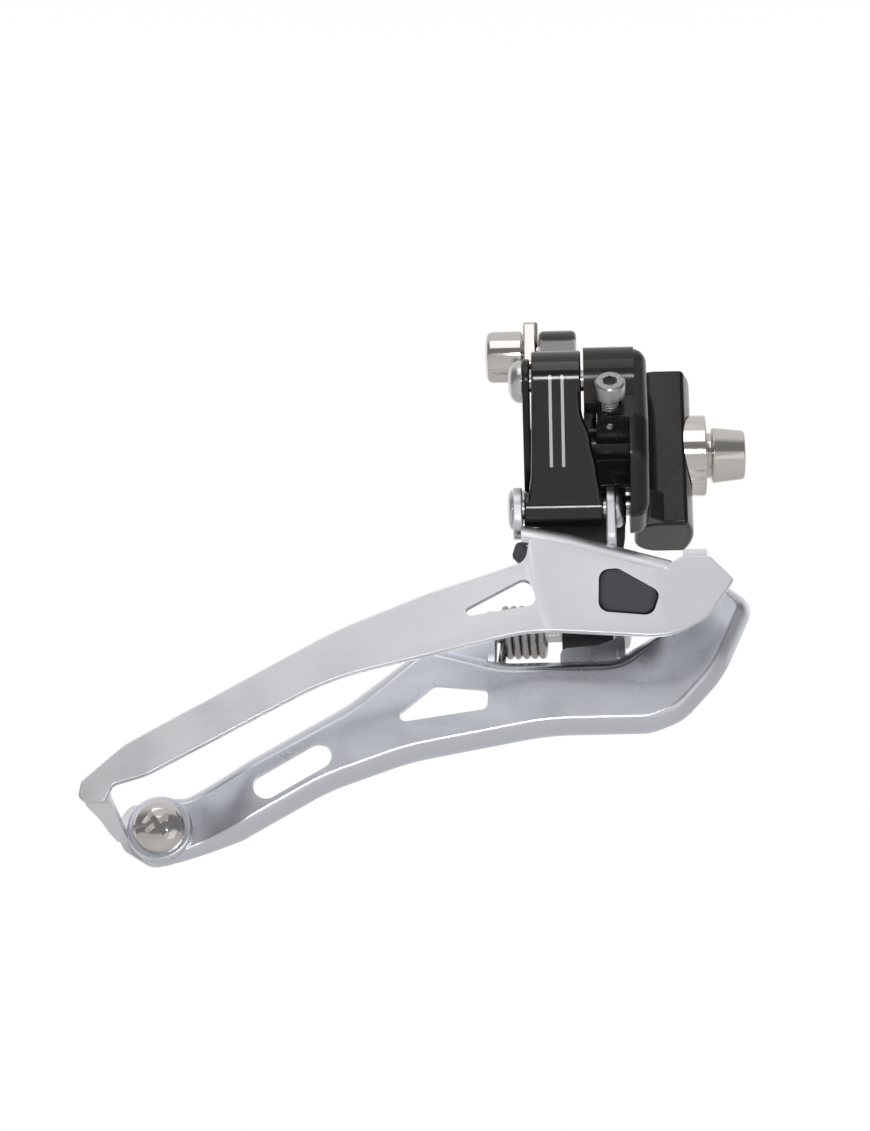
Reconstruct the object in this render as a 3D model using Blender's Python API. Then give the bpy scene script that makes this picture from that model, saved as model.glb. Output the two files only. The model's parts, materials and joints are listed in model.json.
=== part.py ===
"""Front derailleur with a saddle mount: fixed casting, two links and a two-plate chain cage.

Metres, Z up. +X is forward, +Y is inward (towards the bicycle's centre plane).
The origin is on the mounting bolt's axis at the crown of the saddle face.
"""
import math

import bmesh
import bpy
from mathutils import Matrix, Vector

MM = 0.001

# Linkage: a parallelogram whose four axes run along X. Pairs are (Y, Z) in millimetres.
LINK_LENGTH = 19.0
LINK_LEAN_DEG = 22.0            # inward lean of both links at rest
UPPER_OUTER = (-18.5, 4.6)
PIVOT_SPREAD = (14.5, -14.2)    # from an outer axis to the inner one
PIN_R = 1.6
PIN_FIT = 0.15                  # radial clearance round a fixed pin
BUSH_WALL = 0.5
TURN_GAP = 0.3                  # clearance beside parts that turn
PIN_HEAD_R = 3.2

# Saddle block and its clamp
SADDLE_R = 14.0
BLOCK_HALF_Y = 5.5
BLOCK_BACK_X = -9.0
BLOCK_TOP_Z = 12.0
BLOCK_BOTTOM_Z = -13.5
BOLT_R = 2.5
BOLT_FIT = 0.3
WASHER_R = 6.25
WASHER_FRONT_X = 2.2
WASHER_GAP = 0.1
BOLT_HEAD_BACK_X = 3.0
BOLT_HEAD_FRONT_X = 8.2
BOLT_HEAD_R = 4.3
BOLT_TIP_HEAD_R = 3.8

# Casting
KNUCKLE_BACK_X = -14.6
KNUCKLE_FRONT_X = -7.0
RECESS_TOP_Z = -3.2
WALL_BACK_X = -9.8
KNUCKLE_BOSS_R = 4.9
KNUCKLE_BOSS_BACK_X = -16.4
REAR_EAR_BACK_X = -25.5
REAR_EAR_FRONT_X = -24.4
REAR_EAR_R = 3.4
SPINE = (-10.2, -2.3)
SPINE_R = 2.6

# Limit screws
LIMIT_R = 1.3
LIMIT_HEAD_R = 2.25
LIMIT_HEAD_LONG = 2.6
LIMIT_FIT = 0.15

# Outer link and cable arm
LINK_BACK_X = -24.1
LINK_FRONT_TOP_X = -16.8
LINK_FRONT_LOW_X = -13.8
LINK_BARREL_R = 4.5
LINK_LOW_BARREL_R = 2.75
ARM_LONG = 14.4
ARM_ANGLE_DEG = 40.2
ARM_BACK_X = -23.1
ARM_FRONT_X = -17.3
ARM_LUG_R = 3.9
ANCHOR_R = 2.5
ANCHOR_HEAD_R = 3.95

# Inner link
INNER_BACK_X = -24.0
INNER_FRONT_X = -10.3
INNER_LOW_BACK_X = -20.3
INNER_LOW_FRONT_X = -12.6
INNER_BARREL_R = 3.1

# Cage
SHEET = 1.2
OUTER_FACE_Y = -14.5
INNER_FACE_Y = -4.0
EAR_R = 3.3
EAR_THICK = 1.4
EAR_BACK_X = -27.2
EAR_FRONT_X = -13.4
INNER_EAR_BACK_X = -31.6
INNER_EAR_FRONT_X = -12.2
FLANGE_BEND_R = 2.4
FLANGE_INBOARD_Y = -7.9
LIP_WIDTH = 2.3
BRIDGE_BACK_X = -2.2
BRIDGE_FRONT_X = 1.2
BRIDGE_TOP_Z = -20.0
TAIL_SCREW = (-79.6, -59.1)
TAIL_SCREW_R = 1.9
TAIL_HEAD_R = 3.8
TAIL_BOSS_R = 4.8
TAB_Y = (0.2, 1.4)
STEP_DEEP = 1.2                 # how far the inner plate's tail sits further in
REST_GAP = 0.1                  # between pieces that are clamped together
BLEND = 0.08                    # how far a joined solid dips under the face it meets

BRIDGE_RIVET = (-0.5, -25.0)     # joins the two plates at the nose
RIVET_R = 1.1

# Return spring
SPRING_WIRE_R = 0.6
SPRING_MEAN_R = 3.5
SPRING_START_DEG = 300.0
SPRING_SWEEP_DEG = 1882.0
SPRING_BACK_X = -29.4
SPRING_PITCH = 1.25
SPRING_CAGE_LEG = 6.0
SPRING_LINK_LEG = 4.0          # short enough to stay clear of the link's wide part as it swings

ROUND = 24

# Chain cage outlines: corners (X, Z, corner radius) in millimetres, clockwise seen from outside
OUTER_PLATE = [
    (-2.5, -22.0, 0.8), (1.5, -22.0, 1.2), (5.0, -25.8, 0.8), (1.0, -31.5, 6.5), (-4.5, -34.5, 12.0),
    (-24.5, -33.0, 30.0), (-54.0, -40.0, 40.0), (-80.0, -54.0, 5.0), (-85.0, -55.5, 1.2),
    (-86.0, -58.0, 0.6), (-90.0, -57.8, 1.0), (-89.6, -55.0, 1.0), (-83.5, -49.5, 12.0),
    (-53.0, -32.5, 60.0), (-39.5, -27.0, 30.0), (-25.5, -22.4, 2.0), (-24.8, -18.4, 0.7),
    (-6.0, -24.2, 3.0),
]
FLANGE_LINE = [(-26.0, -16.0), (-19.0, -17.5), (-4.0, -22.0)]
WINDOW = [(-37.4, -31.4, 0.7), (-24.9, -24.6, 1.4), (-23.7, -29.2, 1.3)]
PAD_WINDOW = [(-14.7, -23.9, 1.6), (-11.9, -23.8, 1.4), (-5.8, -27.6, 1.4), (-7.0, -31.2, 1.6),
              (-14.9, -30.4, 1.6)]
INNER_PLATE = [
    (-84.4, -54.2, 4.4), (-76.2, -54.0, 2.5), (-52.5, -40.0, 25.0), (-40.5, -31.0, 4.0),
    (-29.0, -33.8, 15.0), (-12.5, -33.6, 6.0), (-3.0, -28.2, 2.5), (-2.2, -21.8, 1.8),
    (3.4, -21.8, 3.0), (8.8, -25.0, 3.0), (3.6, -36.5, 20.0), (-2.6, -43.3, 9.0), (-7.5, -45.1, 7.0),
    (-22.5, -45.2, 40.0), (-43.0, -49.0, 40.0), (-55.0, -53.3, 30.0), (-67.5, -60.5, 6.0),
    (-77.0, -63.8, 5.0), (-84.4, -64.4, 4.6),
]
LIP_DEEP = 2.4                  # how far the inner plate's rim is pressed inward
# Where that rim is shallower: (X, Z), radius that stays shallow, radius where it is full, least share
SHALLOW_RIMS = (
    ((-84.0, -59.0), 4.0, 17.0, 0.33),
    ((-1.5, -24.0), 3.0, 9.0, 0.12),
    ((-44.5, -34.0), 3.0, 9.0, 0.67),
)
SLOT_ENDS = ((-64.0, -52.9), (-56.5, -48.5))
SLOT_R = 2.0
LARGE_HOLE = [(-46.6, -43.8, 0.9), (-39.3, -37.7, 1.4), (-31.3, -38.5, 1.1), (-31.5, -41.6, 1.0)]


def lower(axis):
    """Lower axis of the link that hangs from an upper axis."""
    lean = math.radians(LINK_LEAN_DEG)
    return (axis[0] + LINK_LENGTH * math.sin(lean), axis[1] - LINK_LENGTH * math.cos(lean))


UPPER_INNER = (UPPER_OUTER[0] + PIVOT_SPREAD[0], UPPER_OUTER[1] + PIVOT_SPREAD[1])
LOWER_OUTER = lower(UPPER_OUTER)
LOWER_INNER = lower(UPPER_INNER)
ANCHOR = (
    UPPER_OUTER[0] + ARM_LONG * math.cos(math.radians(ARM_ANGLE_DEG)),
    UPPER_OUTER[1] + ARM_LONG * math.sin(math.radians(ARM_ANGLE_DEG)),
)


# ---------------------------------------------------------------- scene and helpers

def clear_scene():
    for obj in list(bpy.data.objects):
        bpy.data.objects.remove(obj, do_unlink=True)


def collection(name):
    made = bpy.data.collections.new(name)
    bpy.context.scene.collection.children.link(made)
    return made


clear_scene()
PARTS = collection("front_derailleur")
CUTTERS = collection("cutters")


def material(name, colour, metallic, roughness):
    made = bpy.data.materials.new(name)
    made.use_nodes = True
    shader = made.node_tree.nodes["Principled BSDF"]
    shader.inputs["Base Color"].default_value = (*colour, 1.0)
    shader.inputs["Metallic"].default_value = metallic
    shader.inputs["Roughness"].default_value = roughness
    made.diffuse_color = (*colour, 1.0)
    return made


def make_object(name, bm, where, shader=None, origin=(0.0, 0.0, 0.0)):
    """Turn a bmesh in millimetres into an object in metres with its origin at a point."""
    bmesh.ops.recalc_face_normals(bm, faces=bm.faces)
    bmesh.ops.translate(bm, verts=bm.verts, vec=-Vector(origin))
    bmesh.ops.scale(bm, verts=bm.verts, vec=(MM, MM, MM))
    mesh = bpy.data.meshes.new(name)
    bm.to_mesh(mesh)
    bm.free()
    obj = bpy.data.objects.new(name, mesh)
    obj.location = Vector(origin) * MM
    where.objects.link(obj)
    if shader:
        mesh.materials.append(shader)
    for face in mesh.polygons:
        face.use_smooth = True
    mesh.set_sharp_from_angle(angle=math.radians(35))
    return obj


def cutter(name, bm):
    obj = make_object(name, bm, CUTTERS)
    obj.hide_render = True
    obj.display_type = "WIRE"
    return obj


def combine(target, tool, operation):
    step = target.modifiers.new(tool.name, "BOOLEAN")
    step.operation = operation
    step.solver = "EXACT"
    step.object = tool


def cut(target, *tools):
    for tool in tools:
        combine(target, tool, "DIFFERENCE")


def fuse(target, *tools):
    for tool in tools:
        combine(target, tool, "UNION")


def rounded(corners, steps=5):
    """Polygon whose corners (x, y, radius) are rounded by arcs."""
    out = []
    total = len(corners)
    for i, (x, y, radius) in enumerate(corners):
        here = Vector((x, y))
        back = (Vector(corners[i - 1][:2]) - here).normalized()
        ahead = (Vector(corners[(i + 1) % total][:2]) - here).normalized()
        half = back.angle(ahead) / 2
        if radius <= 0:
            out.append((x, y))
            continue
        centre = here + (back + ahead).normalized() * (radius / math.sin(half))
        first = here + back * (radius / math.tan(half)) - centre
        last = here + ahead * (radius / math.tan(half)) - centre
        sweep = first.angle_signed(last)
        for s in range(steps + 1):
            spoke = first.copy()
            spoke.rotate(Matrix.Rotation(-sweep * s / steps, 2))
            out.append(tuple(centre + spoke))
    return out


def capsule(a, b, radius_a, radius_b, steps=12):
    """Outline of two circles and their outer tangents."""
    start, end = Vector(a), Vector(b)
    along = end - start
    heading = math.atan2(along.y, along.x)
    open_half = math.acos((radius_a - radius_b) / along.length)
    out = []
    for centre, radius, low, high in (
            (start, radius_a, heading + open_half, heading + 2 * math.pi - open_half),
            (end, radius_b, heading - open_half, heading + open_half)):
        for s in range(steps + 1):
            turn = low + (high - low) * s / steps
            out.append((centre.x + radius * math.cos(turn), centre.y + radius * math.sin(turn)))
    return out


PLANES = {
    "X": lambda u, v, w: (w, u, v),
    "Y": lambda u, v, w: (u, w, v),
    "Z": lambda u, v, w: (u, v, w),
}


def prism(outline, axis, low, high, bevel=0.0, bevel_steps=3):
    """Outline pushed along an axis; its end edges may be rounded."""
    place = PLANES[axis]
    bm = bmesh.new()
    rings = [[bm.verts.new(place(u, v, w)) for u, v in outline] for w in (low, high)]
    ends = [bm.faces.new(ring) for ring in rings]
    total = len(outline)
    for i in range(total):
        j = (i + 1) % total
        bm.faces.new((rings[0][i], rings[0][j], rings[1][j], rings[1][i]))
    bmesh.ops.recalc_face_normals(bm, faces=bm.faces)
    if bevel:
        edges = list({edge for face in ends for edge in face.edges})
        bmesh.ops.bevel(bm, geom=edges, offset=bevel, segments=bevel_steps, profile=0.5,
                        affect="EDGES", clamp_overlap=True)
    return bm


def circle(centre, radius, count=ROUND):
    return [(centre[0] + radius * math.cos(2 * math.pi * i / count),
             centre[1] + radius * math.sin(2 * math.pi * i / count)) for i in range(count)]


def round_bar(axis, centre, radius, low, high, bevel=0.0, count=ROUND):
    return prism(circle(centre, radius, count), axis, low, high, bevel, 1)


def turned(profile, count=ROUND):
    """Solid of revolution about X from (radius, x) pairs that start and end on the axis."""
    bm = bmesh.new()
    chain = [bm.verts.new((x, radius, 0.0)) for radius, x in profile]
    edges = [bm.edges.new(pair) for pair in zip(chain, chain[1:])]
    bmesh.ops.spin(bm, geom=chain + edges, cent=(0, 0, 0), axis=(1, 0, 0), angle=2 * math.pi,
                   steps=count, use_merge=True)
    bmesh.ops.remove_doubles(bm, verts=bm.verts, dist=0.001)
    bmesh.ops.recalc_face_normals(bm, faces=bm.faces)
    return bm


def aim(bm, direction, place):
    """Turn a solid made along +X to a direction and move it."""
    turn = Vector((1, 0, 0)).rotation_difference(Vector(direction)).to_matrix().to_4x4()
    bmesh.ops.transform(bm, verts=bm.verts, matrix=Matrix.Translation(place) @ turn)
    return bm


def hex_prism(across_flats, low, high):
    return prism(circle((0, 0), across_flats / math.sqrt(3), 6), "X", low, high)


def loft(sections):
    """Closed solid through rings of equal count."""
    bm = bmesh.new()
    rings = [[bm.verts.new(point) for point in ring] for ring in sections]
    total = len(rings[0])
    for near, far in zip(rings, rings[1:]):
        for i in range(total):
            j = (i + 1) % total
            bm.faces.new((near[i], near[j], far[j], far[i]))
    bm.faces.new(rings[0])
    bm.faces.new(rings[-1])
    bmesh.ops.recalc_face_normals(bm, faces=bm.faces)
    return bm


def at_axis(pair, x=0.0):
    return (x, pair[0], pair[1])


# ---------------------------------------------------------------- materials

BLACK = material("black_paint", (0.012, 0.011, 0.010), 0.0, 0.22)
LINK_BLACK = material("black_gloss", (0.010, 0.010, 0.011), 0.0, 0.12)
INNER_BLACK = material("black_satin", (0.016, 0.015, 0.015), 0.0, 0.35)
CHROME = material("bright_chrome", (0.72, 0.70, 0.68), 1.0, 0.12)
ZINC = material("zinc_steel", (0.55, 0.54, 0.53), 1.0, 0.30)
OUTER_SILVER = material("outer_plate_silver", (0.62, 0.62, 0.65), 1.0, 0.28)
INNER_SILVER = material("inner_plate_silver", (0.58, 0.60, 0.66), 1.0, 0.22)
RIVET = material("rivet_steel", (0.66, 0.65, 0.64), 1.0, 0.25)
PLASTIC = material("grey_plastic", (0.075, 0.070, 0.082), 0.0, 0.55)
BRONZE = material("bush_bronze", (0.42, 0.30, 0.16), 1.0, 0.40)
SPRING_STEEL = material("spring_steel", (0.50, 0.50, 0.50), 1.0, 0.25)


# ---------------------------------------------------------------- fixed casting

LIMITS = {
    "outer_limit_screw": {"top": (-12.6, -26.0, 1.1), "into": (0.0, 0.90, -0.436), "long": 6.2},
    "inner_limit_screw": {"top": (-11.9, -10.2, 13.3), "into": (0.0, 0.10, -0.995), "long": 8.0},
}


def saddle_block():
    """Block whose front is part of an upright cylinder."""
    half = math.asin(BLOCK_HALF_Y / SADDLE_R)
    front = []
    for s in range(-4, 5):
        turn = half * s / 4
        front.append((SADDLE_R * (math.cos(turn) - 1), SADDLE_R * math.sin(turn), 0))
    corner = 3.8
    side = BLOCK_HALF_Y + 0.3
    front[0] = (front[0][0], -side, 0.7)
    front[-1] = (front[-1][0], side, 0.7)
    back = [(BLOCK_BACK_X, side, corner), (BLOCK_BACK_X, -side, corner)]
    return prism(rounded(front + back, 4), "Z", BLOCK_BOTTOM_Z, BLOCK_TOP_Z, 1.5)


def knuckle():
    side = [
        (-19.0, 10.2, 2.8), (-22.7, RECESS_TOP_Z, 2.6), (-21.5, -9.0, 4.0), (-16.0, -15.9, 3.0),
        (-8.0, -15.9, 3.0), (-3.4, -12.8, 2.5), (-3.4, 6.0, 2.5), (-7.5, 10.2, 2.5),
    ]
    return prism(rounded(side, 3), "X", KNUCKLE_BACK_X, KNUCKLE_FRONT_X, 2.3)


def web():
    """Flare between the knuckle's foot and the block."""
    plan = [(-9.4, -13.0, 0.4), (-8.2, -13.0, 0.8), (-7.2, -8.6, 3.5), (-3.4, -5.2, 0.8), (-9.4, -5.0, 0.4)]
    return prism(rounded(plan, 4), "Z", -13.3, -8.5, 0.3, 1)


def recess_back():
    """Wall at the back of the recess, between the two links."""
    return prism(rounded([(-10.6, -9.2, 0.5), (-10.6, 3.4, 0.5), (-7.7, 3.4, 0.5), (-7.7, -9.2, 0.5)], 2),
                 "X", KNUCKLE_BOSS_BACK_X, -8.5)


def body_casting():
    body = make_object("body_casting", knuckle(), PARTS, BLACK)
    recess = prism([(-30.0, RECESS_TOP_Z), (-30.0, -20.0), (0.0, -20.0), (0.0, RECESS_TOP_Z)],
                   "X", KNUCKLE_BACK_X - 1, WALL_BACK_X)
    cut(body, cutter("recess_space", recess))
    ear = prism(capsule(UPPER_OUTER, UPPER_INNER, REAR_EAR_R, REAR_EAR_R), "X",
                REAR_EAR_BACK_X, REAR_EAR_FRONT_X, 0.25, 1)
    fuse(body,
         cutter("block_solid", saddle_block()),
         cutter("web_solid", web()),
         cutter("recess_back_solid", recess_back()),
         cutter("spine_solid", round_bar("X", SPINE, SPINE_R, REAR_EAR_BACK_X + 0.3, -8.2)),
         cutter("boss_solid", round_bar("X", UPPER_OUTER, KNUCKLE_BOSS_R, KNUCKLE_BOSS_BACK_X, -9.0)),
         cutter("rear_ear_solid", ear))
    fit = PIN_R + PIN_FIT
    cut(body,
        cutter("bolt_bore", round_bar("X", (0, 0), BOLT_R + BOLT_FIT, -12.0, 3.0)),
        cutter("upper_outer_bore", round_bar("X", UPPER_OUTER, fit, -30.0, -14.0)),
        cutter("upper_inner_bore", round_bar("X", UPPER_INNER, fit, -30.0, -5.6)))
    for name, spec in LIMITS.items():
        bore = round_bar("X", (0, 0), LIMIT_R + LIMIT_FIT, 0.0, LIMIT_HEAD_LONG + spec["long"] + 0.4)
        cut(body, cutter(name + "_bore", aim(bore, spec["into"], spec["top"])))
    return body


def mounting_bolt():
    profile = [
        (0, -8.0), (2.0, -8.0), (BOLT_R, -7.5), (BOLT_R, WASHER_FRONT_X + 0.1), (3.5, WASHER_FRONT_X + 0.1),
        (3.5, BOLT_HEAD_BACK_X), (BOLT_HEAD_R - 0.3, BOLT_HEAD_BACK_X), (BOLT_HEAD_R, BOLT_HEAD_BACK_X + 0.3),
        (BOLT_TIP_HEAD_R, BOLT_HEAD_FRONT_X - 0.5), (BOLT_TIP_HEAD_R - 0.15, BOLT_HEAD_FRONT_X - 0.15),
        (BOLT_TIP_HEAD_R - 0.5, BOLT_HEAD_FRONT_X), (0, BOLT_HEAD_FRONT_X),
    ]
    bolt = make_object("mounting_bolt", turned(profile), PARTS, CHROME)
    cut(bolt, cutter("bolt_socket", hex_prism(4.0, BOLT_HEAD_FRONT_X - 3.5, BOLT_HEAD_FRONT_X + 1)))


def saddle_washer():
    washer = make_object("saddle_washer", round_bar("X", (0, 0), WASHER_R, -1.6, WASHER_FRONT_X, 0.25),
                         PARTS, CHROME)
    hollow = prism(circle((-SADDLE_R, 0), SADDLE_R + WASHER_GAP, 72), "Z", -10.0, 10.0)
    cut(washer,
        cutter("saddle_hollow", hollow),
        cutter("washer_bore", round_bar("X", (0, 0), BOLT_R + BOLT_FIT, -5.0, 5.0)))


def limit_screw(name):
    spec = LIMITS[name]
    end = LIMIT_HEAD_LONG + spec["long"]
    profile = [
        (0, 0), (LIMIT_HEAD_R - 0.3, 0), (LIMIT_HEAD_R, 0.3), (LIMIT_HEAD_R, LIMIT_HEAD_LONG),
        (LIMIT_R, LIMIT_HEAD_LONG), (LIMIT_R, end - 0.4), (LIMIT_R - 0.4, end), (0, end),
    ]
    screw = make_object(name, aim(turned(profile, 24), spec["into"], spec["top"]), PARTS, ZINC)
    socket = aim(hex_prism(2.0, -1.0, 1.6), spec["into"], spec["top"])
    cut(screw, cutter(name + "_socket", socket))


def pivot_pin(name, axis, back, front, head_back, head_front=0.0, head_r=PIN_HEAD_R):
    """Pin with a low domed head at its back end and, if asked, one at its front end."""
    profile = [(0, back - head_back)]
    profile += [(head_r - 0.9, back - head_back), (head_r - 0.2, back - head_back + 0.4), (head_r, back - 0.3)]
    profile += [(head_r, back), (PIN_R, back)]
    if head_front:
        profile += [(PIN_R, front), (head_r, front), (head_r, front + 0.3)]
        profile += [(head_r - 0.2, front + head_front - 0.4), (head_r - 0.9, front + head_front)]
        profile += [(0, front + head_front)]
    else:
        profile += [(PIN_R, front - 0.3), (PIN_R - 0.3, front), (0, front)]
    bm = turned(profile, 24)
    bmesh.ops.translate(bm, verts=bm.verts, vec=at_axis(axis))
    return make_object(name, bm, PARTS, RIVET)


# ---------------------------------------------------------------- links

def link_section(axis, s, back, front, inner, outer, corner=0.8):
    """Rounded rectangle across a link at distance s below its upper axis."""
    lean = math.radians(LINK_LEAN_DEG)
    down = Vector((0, math.sin(lean), -math.cos(lean)))
    out = Vector((0, -math.cos(lean), -math.sin(lean)))
    base = Vector(at_axis(axis)) + down * s
    ring = rounded([(back, -inner, corner), (front, -inner, corner), (front, outer, corner),
                    (back, outer, corner)], 3)
    return [tuple(base + Vector((x, 0, 0)) + out * n) for x, n in ring]


def outer_link():
    spans = [
        (0.0, LINK_BACK_X, LINK_FRONT_TOP_X, 1.2, 4.4),
        (4.4, LINK_BACK_X - 0.1, LINK_FRONT_TOP_X, 1.3, 4.2),
        (9.0, LINK_BACK_X - 0.2, -15.4, 1.4, 3.8),
        (13.5, LINK_BACK_X - 0.3, -14.5, 1.4, 3.3),
        (17.0, LINK_BACK_X - 0.7, -14.0, 1.6, 2.9),
        (LINK_LENGTH, EAR_BACK_X + EAR_THICK + TURN_GAP, LINK_FRONT_LOW_X, 1.8, 2.5),
    ]
    link = make_object("outer_link", loft([link_section(UPPER_OUTER, *span) for span in spans]),
                       PARTS, LINK_BLACK, at_axis(UPPER_OUTER))
    arm = prism(capsule(UPPER_OUTER, ANCHOR, 3.2, 3.2), "X", ARM_BACK_X, ARM_FRONT_X, 0.6)
    fuse(link,
         cutter("link_barrel", round_bar("X", UPPER_OUTER, LINK_BARREL_R, LINK_BACK_X, LINK_FRONT_TOP_X, 0.3)),
         cutter("link_low_barrel", round_bar("X", LOWER_OUTER, LINK_LOW_BARREL_R,
                                             EAR_BACK_X + EAR_THICK + TURN_GAP, LINK_FRONT_LOW_X, 0.3)),
         cutter("arm_plate", arm),
         cutter("arm_lug", round_bar("X", ANCHOR, ARM_LUG_R, ARM_BACK_X, ARM_FRONT_X, 0.8)))
    bush = PIN_R + PIN_FIT + BUSH_WALL + PIN_FIT
    cut(link,
        cutter("link_bore", round_bar("X", UPPER_OUTER, bush, -30.0, -10.0)),
        cutter("link_low_bore", round_bar("X", LOWER_OUTER, bush, -30.0, -10.0)),
        cutter("anchor_bore", round_bar("X", ANCHOR, ANCHOR_R + PIN_FIT, -30.0, -10.0)))


def bush(name, axis, back, front):
    ring = make_object(name, round_bar("X", axis, PIN_R + PIN_FIT + BUSH_WALL, back, front, 0.0, 24),
                       PARTS, BRONZE, at_axis(axis))
    cut(ring, cutter(name + "_bore", round_bar("X", axis, PIN_R + PIN_FIT, back - 1, front + 1, 0.0, 24)))


def cable_anchor_bolt():
    head = ARM_BACK_X - 2.4
    profile = [
        (0, head - 5.7), (ANCHOR_HEAD_R - 0.9, head - 5.7), (ANCHOR_HEAD_R - 0.25, head - 5.35),
        (ANCHOR_HEAD_R, head - 4.7), (ANCHOR_HEAD_R, head - 0.3), (ANCHOR_HEAD_R - 0.3, head),
        (ANCHOR_R, head), (ANCHOR_R, ARM_FRONT_X - 0.7), (ANCHOR_R - 0.4, ARM_FRONT_X - 0.3),
        (0, ARM_FRONT_X - 0.3),
    ]
    bm = turned(profile)
    bmesh.ops.translate(bm, verts=bm.verts, vec=at_axis(ANCHOR))
    bolt = make_object("cable_anchor_bolt", bm, PARTS, CHROME, at_axis(ANCHOR))
    socket = hex_prism(4.0, head - 7.0, head - 2.6)
    bmesh.ops.translate(socket, verts=socket.verts, vec=at_axis(ANCHOR))
    cut(bolt, cutter("anchor_socket", socket))


def cable_clamp_washer():
    """Square-shouldered clamp washer with a tongue that keeps it from turning."""
    y, z = ANCHOR
    reach = 4.5
    plan = rounded([(y - 3.9, z - 3.6, 1.2), (y - 3.6, z + reach, 1.0), (y + 3.6, z + reach, 1.0),
                    (y + 3.9, z - 3.6, 1.2)], 4)
    washer = make_object("cable_clamp_washer", prism(plan, "X", ARM_BACK_X - 2.3, ARM_BACK_X - REST_GAP, 0.3),
                         PARTS, CHROME, at_axis(ANCHOR))
    groove = round_bar("Z", (ARM_BACK_X, y - ANCHOR_R - 0.9), 0.7, z - 9, z + 9, 0.0, 16)
    cut(washer,
        cutter("clamp_bore", round_bar("X", ANCHOR, ANCHOR_R + BOLT_FIT, -30.0, -10.0)),
        cutter("cable_groove", groove))


def inner_link():
    spans = [
        (0.0, INNER_BACK_X, INNER_FRONT_X, 1.5, 1.5),
        (5.0, INNER_BACK_X, INNER_FRONT_X - 0.2, 1.4, 1.6),
        (11.0, -22.8, -11.4, 1.3, 1.5),
        (16.0, INNER_LOW_BACK_X, INNER_LOW_FRONT_X, 1.3, 1.4),
        (LINK_LENGTH, INNER_LOW_BACK_X, INNER_LOW_FRONT_X, 1.4, 1.4),
    ]
    link = make_object("inner_link", loft([link_section(UPPER_INNER, *span) for span in spans]),
                       PARTS, INNER_BLACK, at_axis(UPPER_INNER))
    fuse(link,
         cutter("inner_barrel", round_bar("X", UPPER_INNER, INNER_BARREL_R, INNER_BACK_X, INNER_FRONT_X, 0.3)),
         cutter("inner_low_barrel", round_bar("X", LOWER_INNER, INNER_BARREL_R,
                                              INNER_LOW_BACK_X, INNER_LOW_FRONT_X, 0.3)))
    hole = PIN_R + PIN_FIT + BUSH_WALL + PIN_FIT
    cut(link,
        cutter("inner_bore", round_bar("X", UPPER_INNER, hole, -30.0, -8.0)),
        cutter("inner_low_bore", round_bar("X", LOWER_INNER, hole, -30.0, -8.0)))


# ---------------------------------------------------------------- cage

def flange_solid():
    """Rolled top edge of the outer plate."""
    path = []
    steps = 5
    for s in range(steps + 1):
        turn = math.pi / 2 * s / steps
        path.append((FLANGE_BEND_R * (1 - math.cos(turn)), FLANGE_BEND_R * (math.sin(turn) - 1)))
    inner = []
    for s in range(steps, -1, -1):
        turn = math.pi / 2 * s / steps
        radius = FLANGE_BEND_R - SHEET
        inner.append((FLANGE_BEND_R - radius * math.cos(turn), radius * math.sin(turn) - FLANGE_BEND_R))
    reach = FLANGE_INBOARD_Y - OUTER_FACE_Y
    ring = [(BLEND, -FLANGE_BEND_R - 0.9)] + path + [(reach, 0.0), (reach, -SHEET)] + inner
    ring += [(SHEET - BLEND, -FLANGE_BEND_R - 0.9)]
    sections = []
    for x, z in FLANGE_LINE:
        sections.append([(x, OUTER_FACE_Y + u, z + v) for u, v in ring])
    return loft(sections)


def strip(path, thick):
    """Sheet strip that follows (Y, Z) points, with its two X limits at each point."""
    sections = []
    total = len(path) - 1
    for i, (y, z, back, front) in enumerate(path):
        before, after = path[max(i - 1, 0)], path[min(i + 1, total)]
        along = Vector((after[0] - before[0], after[1] - before[1])).normalized()
        side = Vector((-along.y, along.x)) * thick / 2
        sections.append([
            (back, y + side.x, z + side.y), (front, y + side.x, z + side.y),
            (front, y - side.x, z - side.y), (back, y - side.x, z - side.y)])
    return loft(sections)


def ear_solid(axis, foot_a, foot_b, back):
    outline = capsule(axis, foot_a, EAR_R, foot_b)
    return prism(outline, "X", back, back + EAR_THICK, 0.25, 1)


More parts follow.
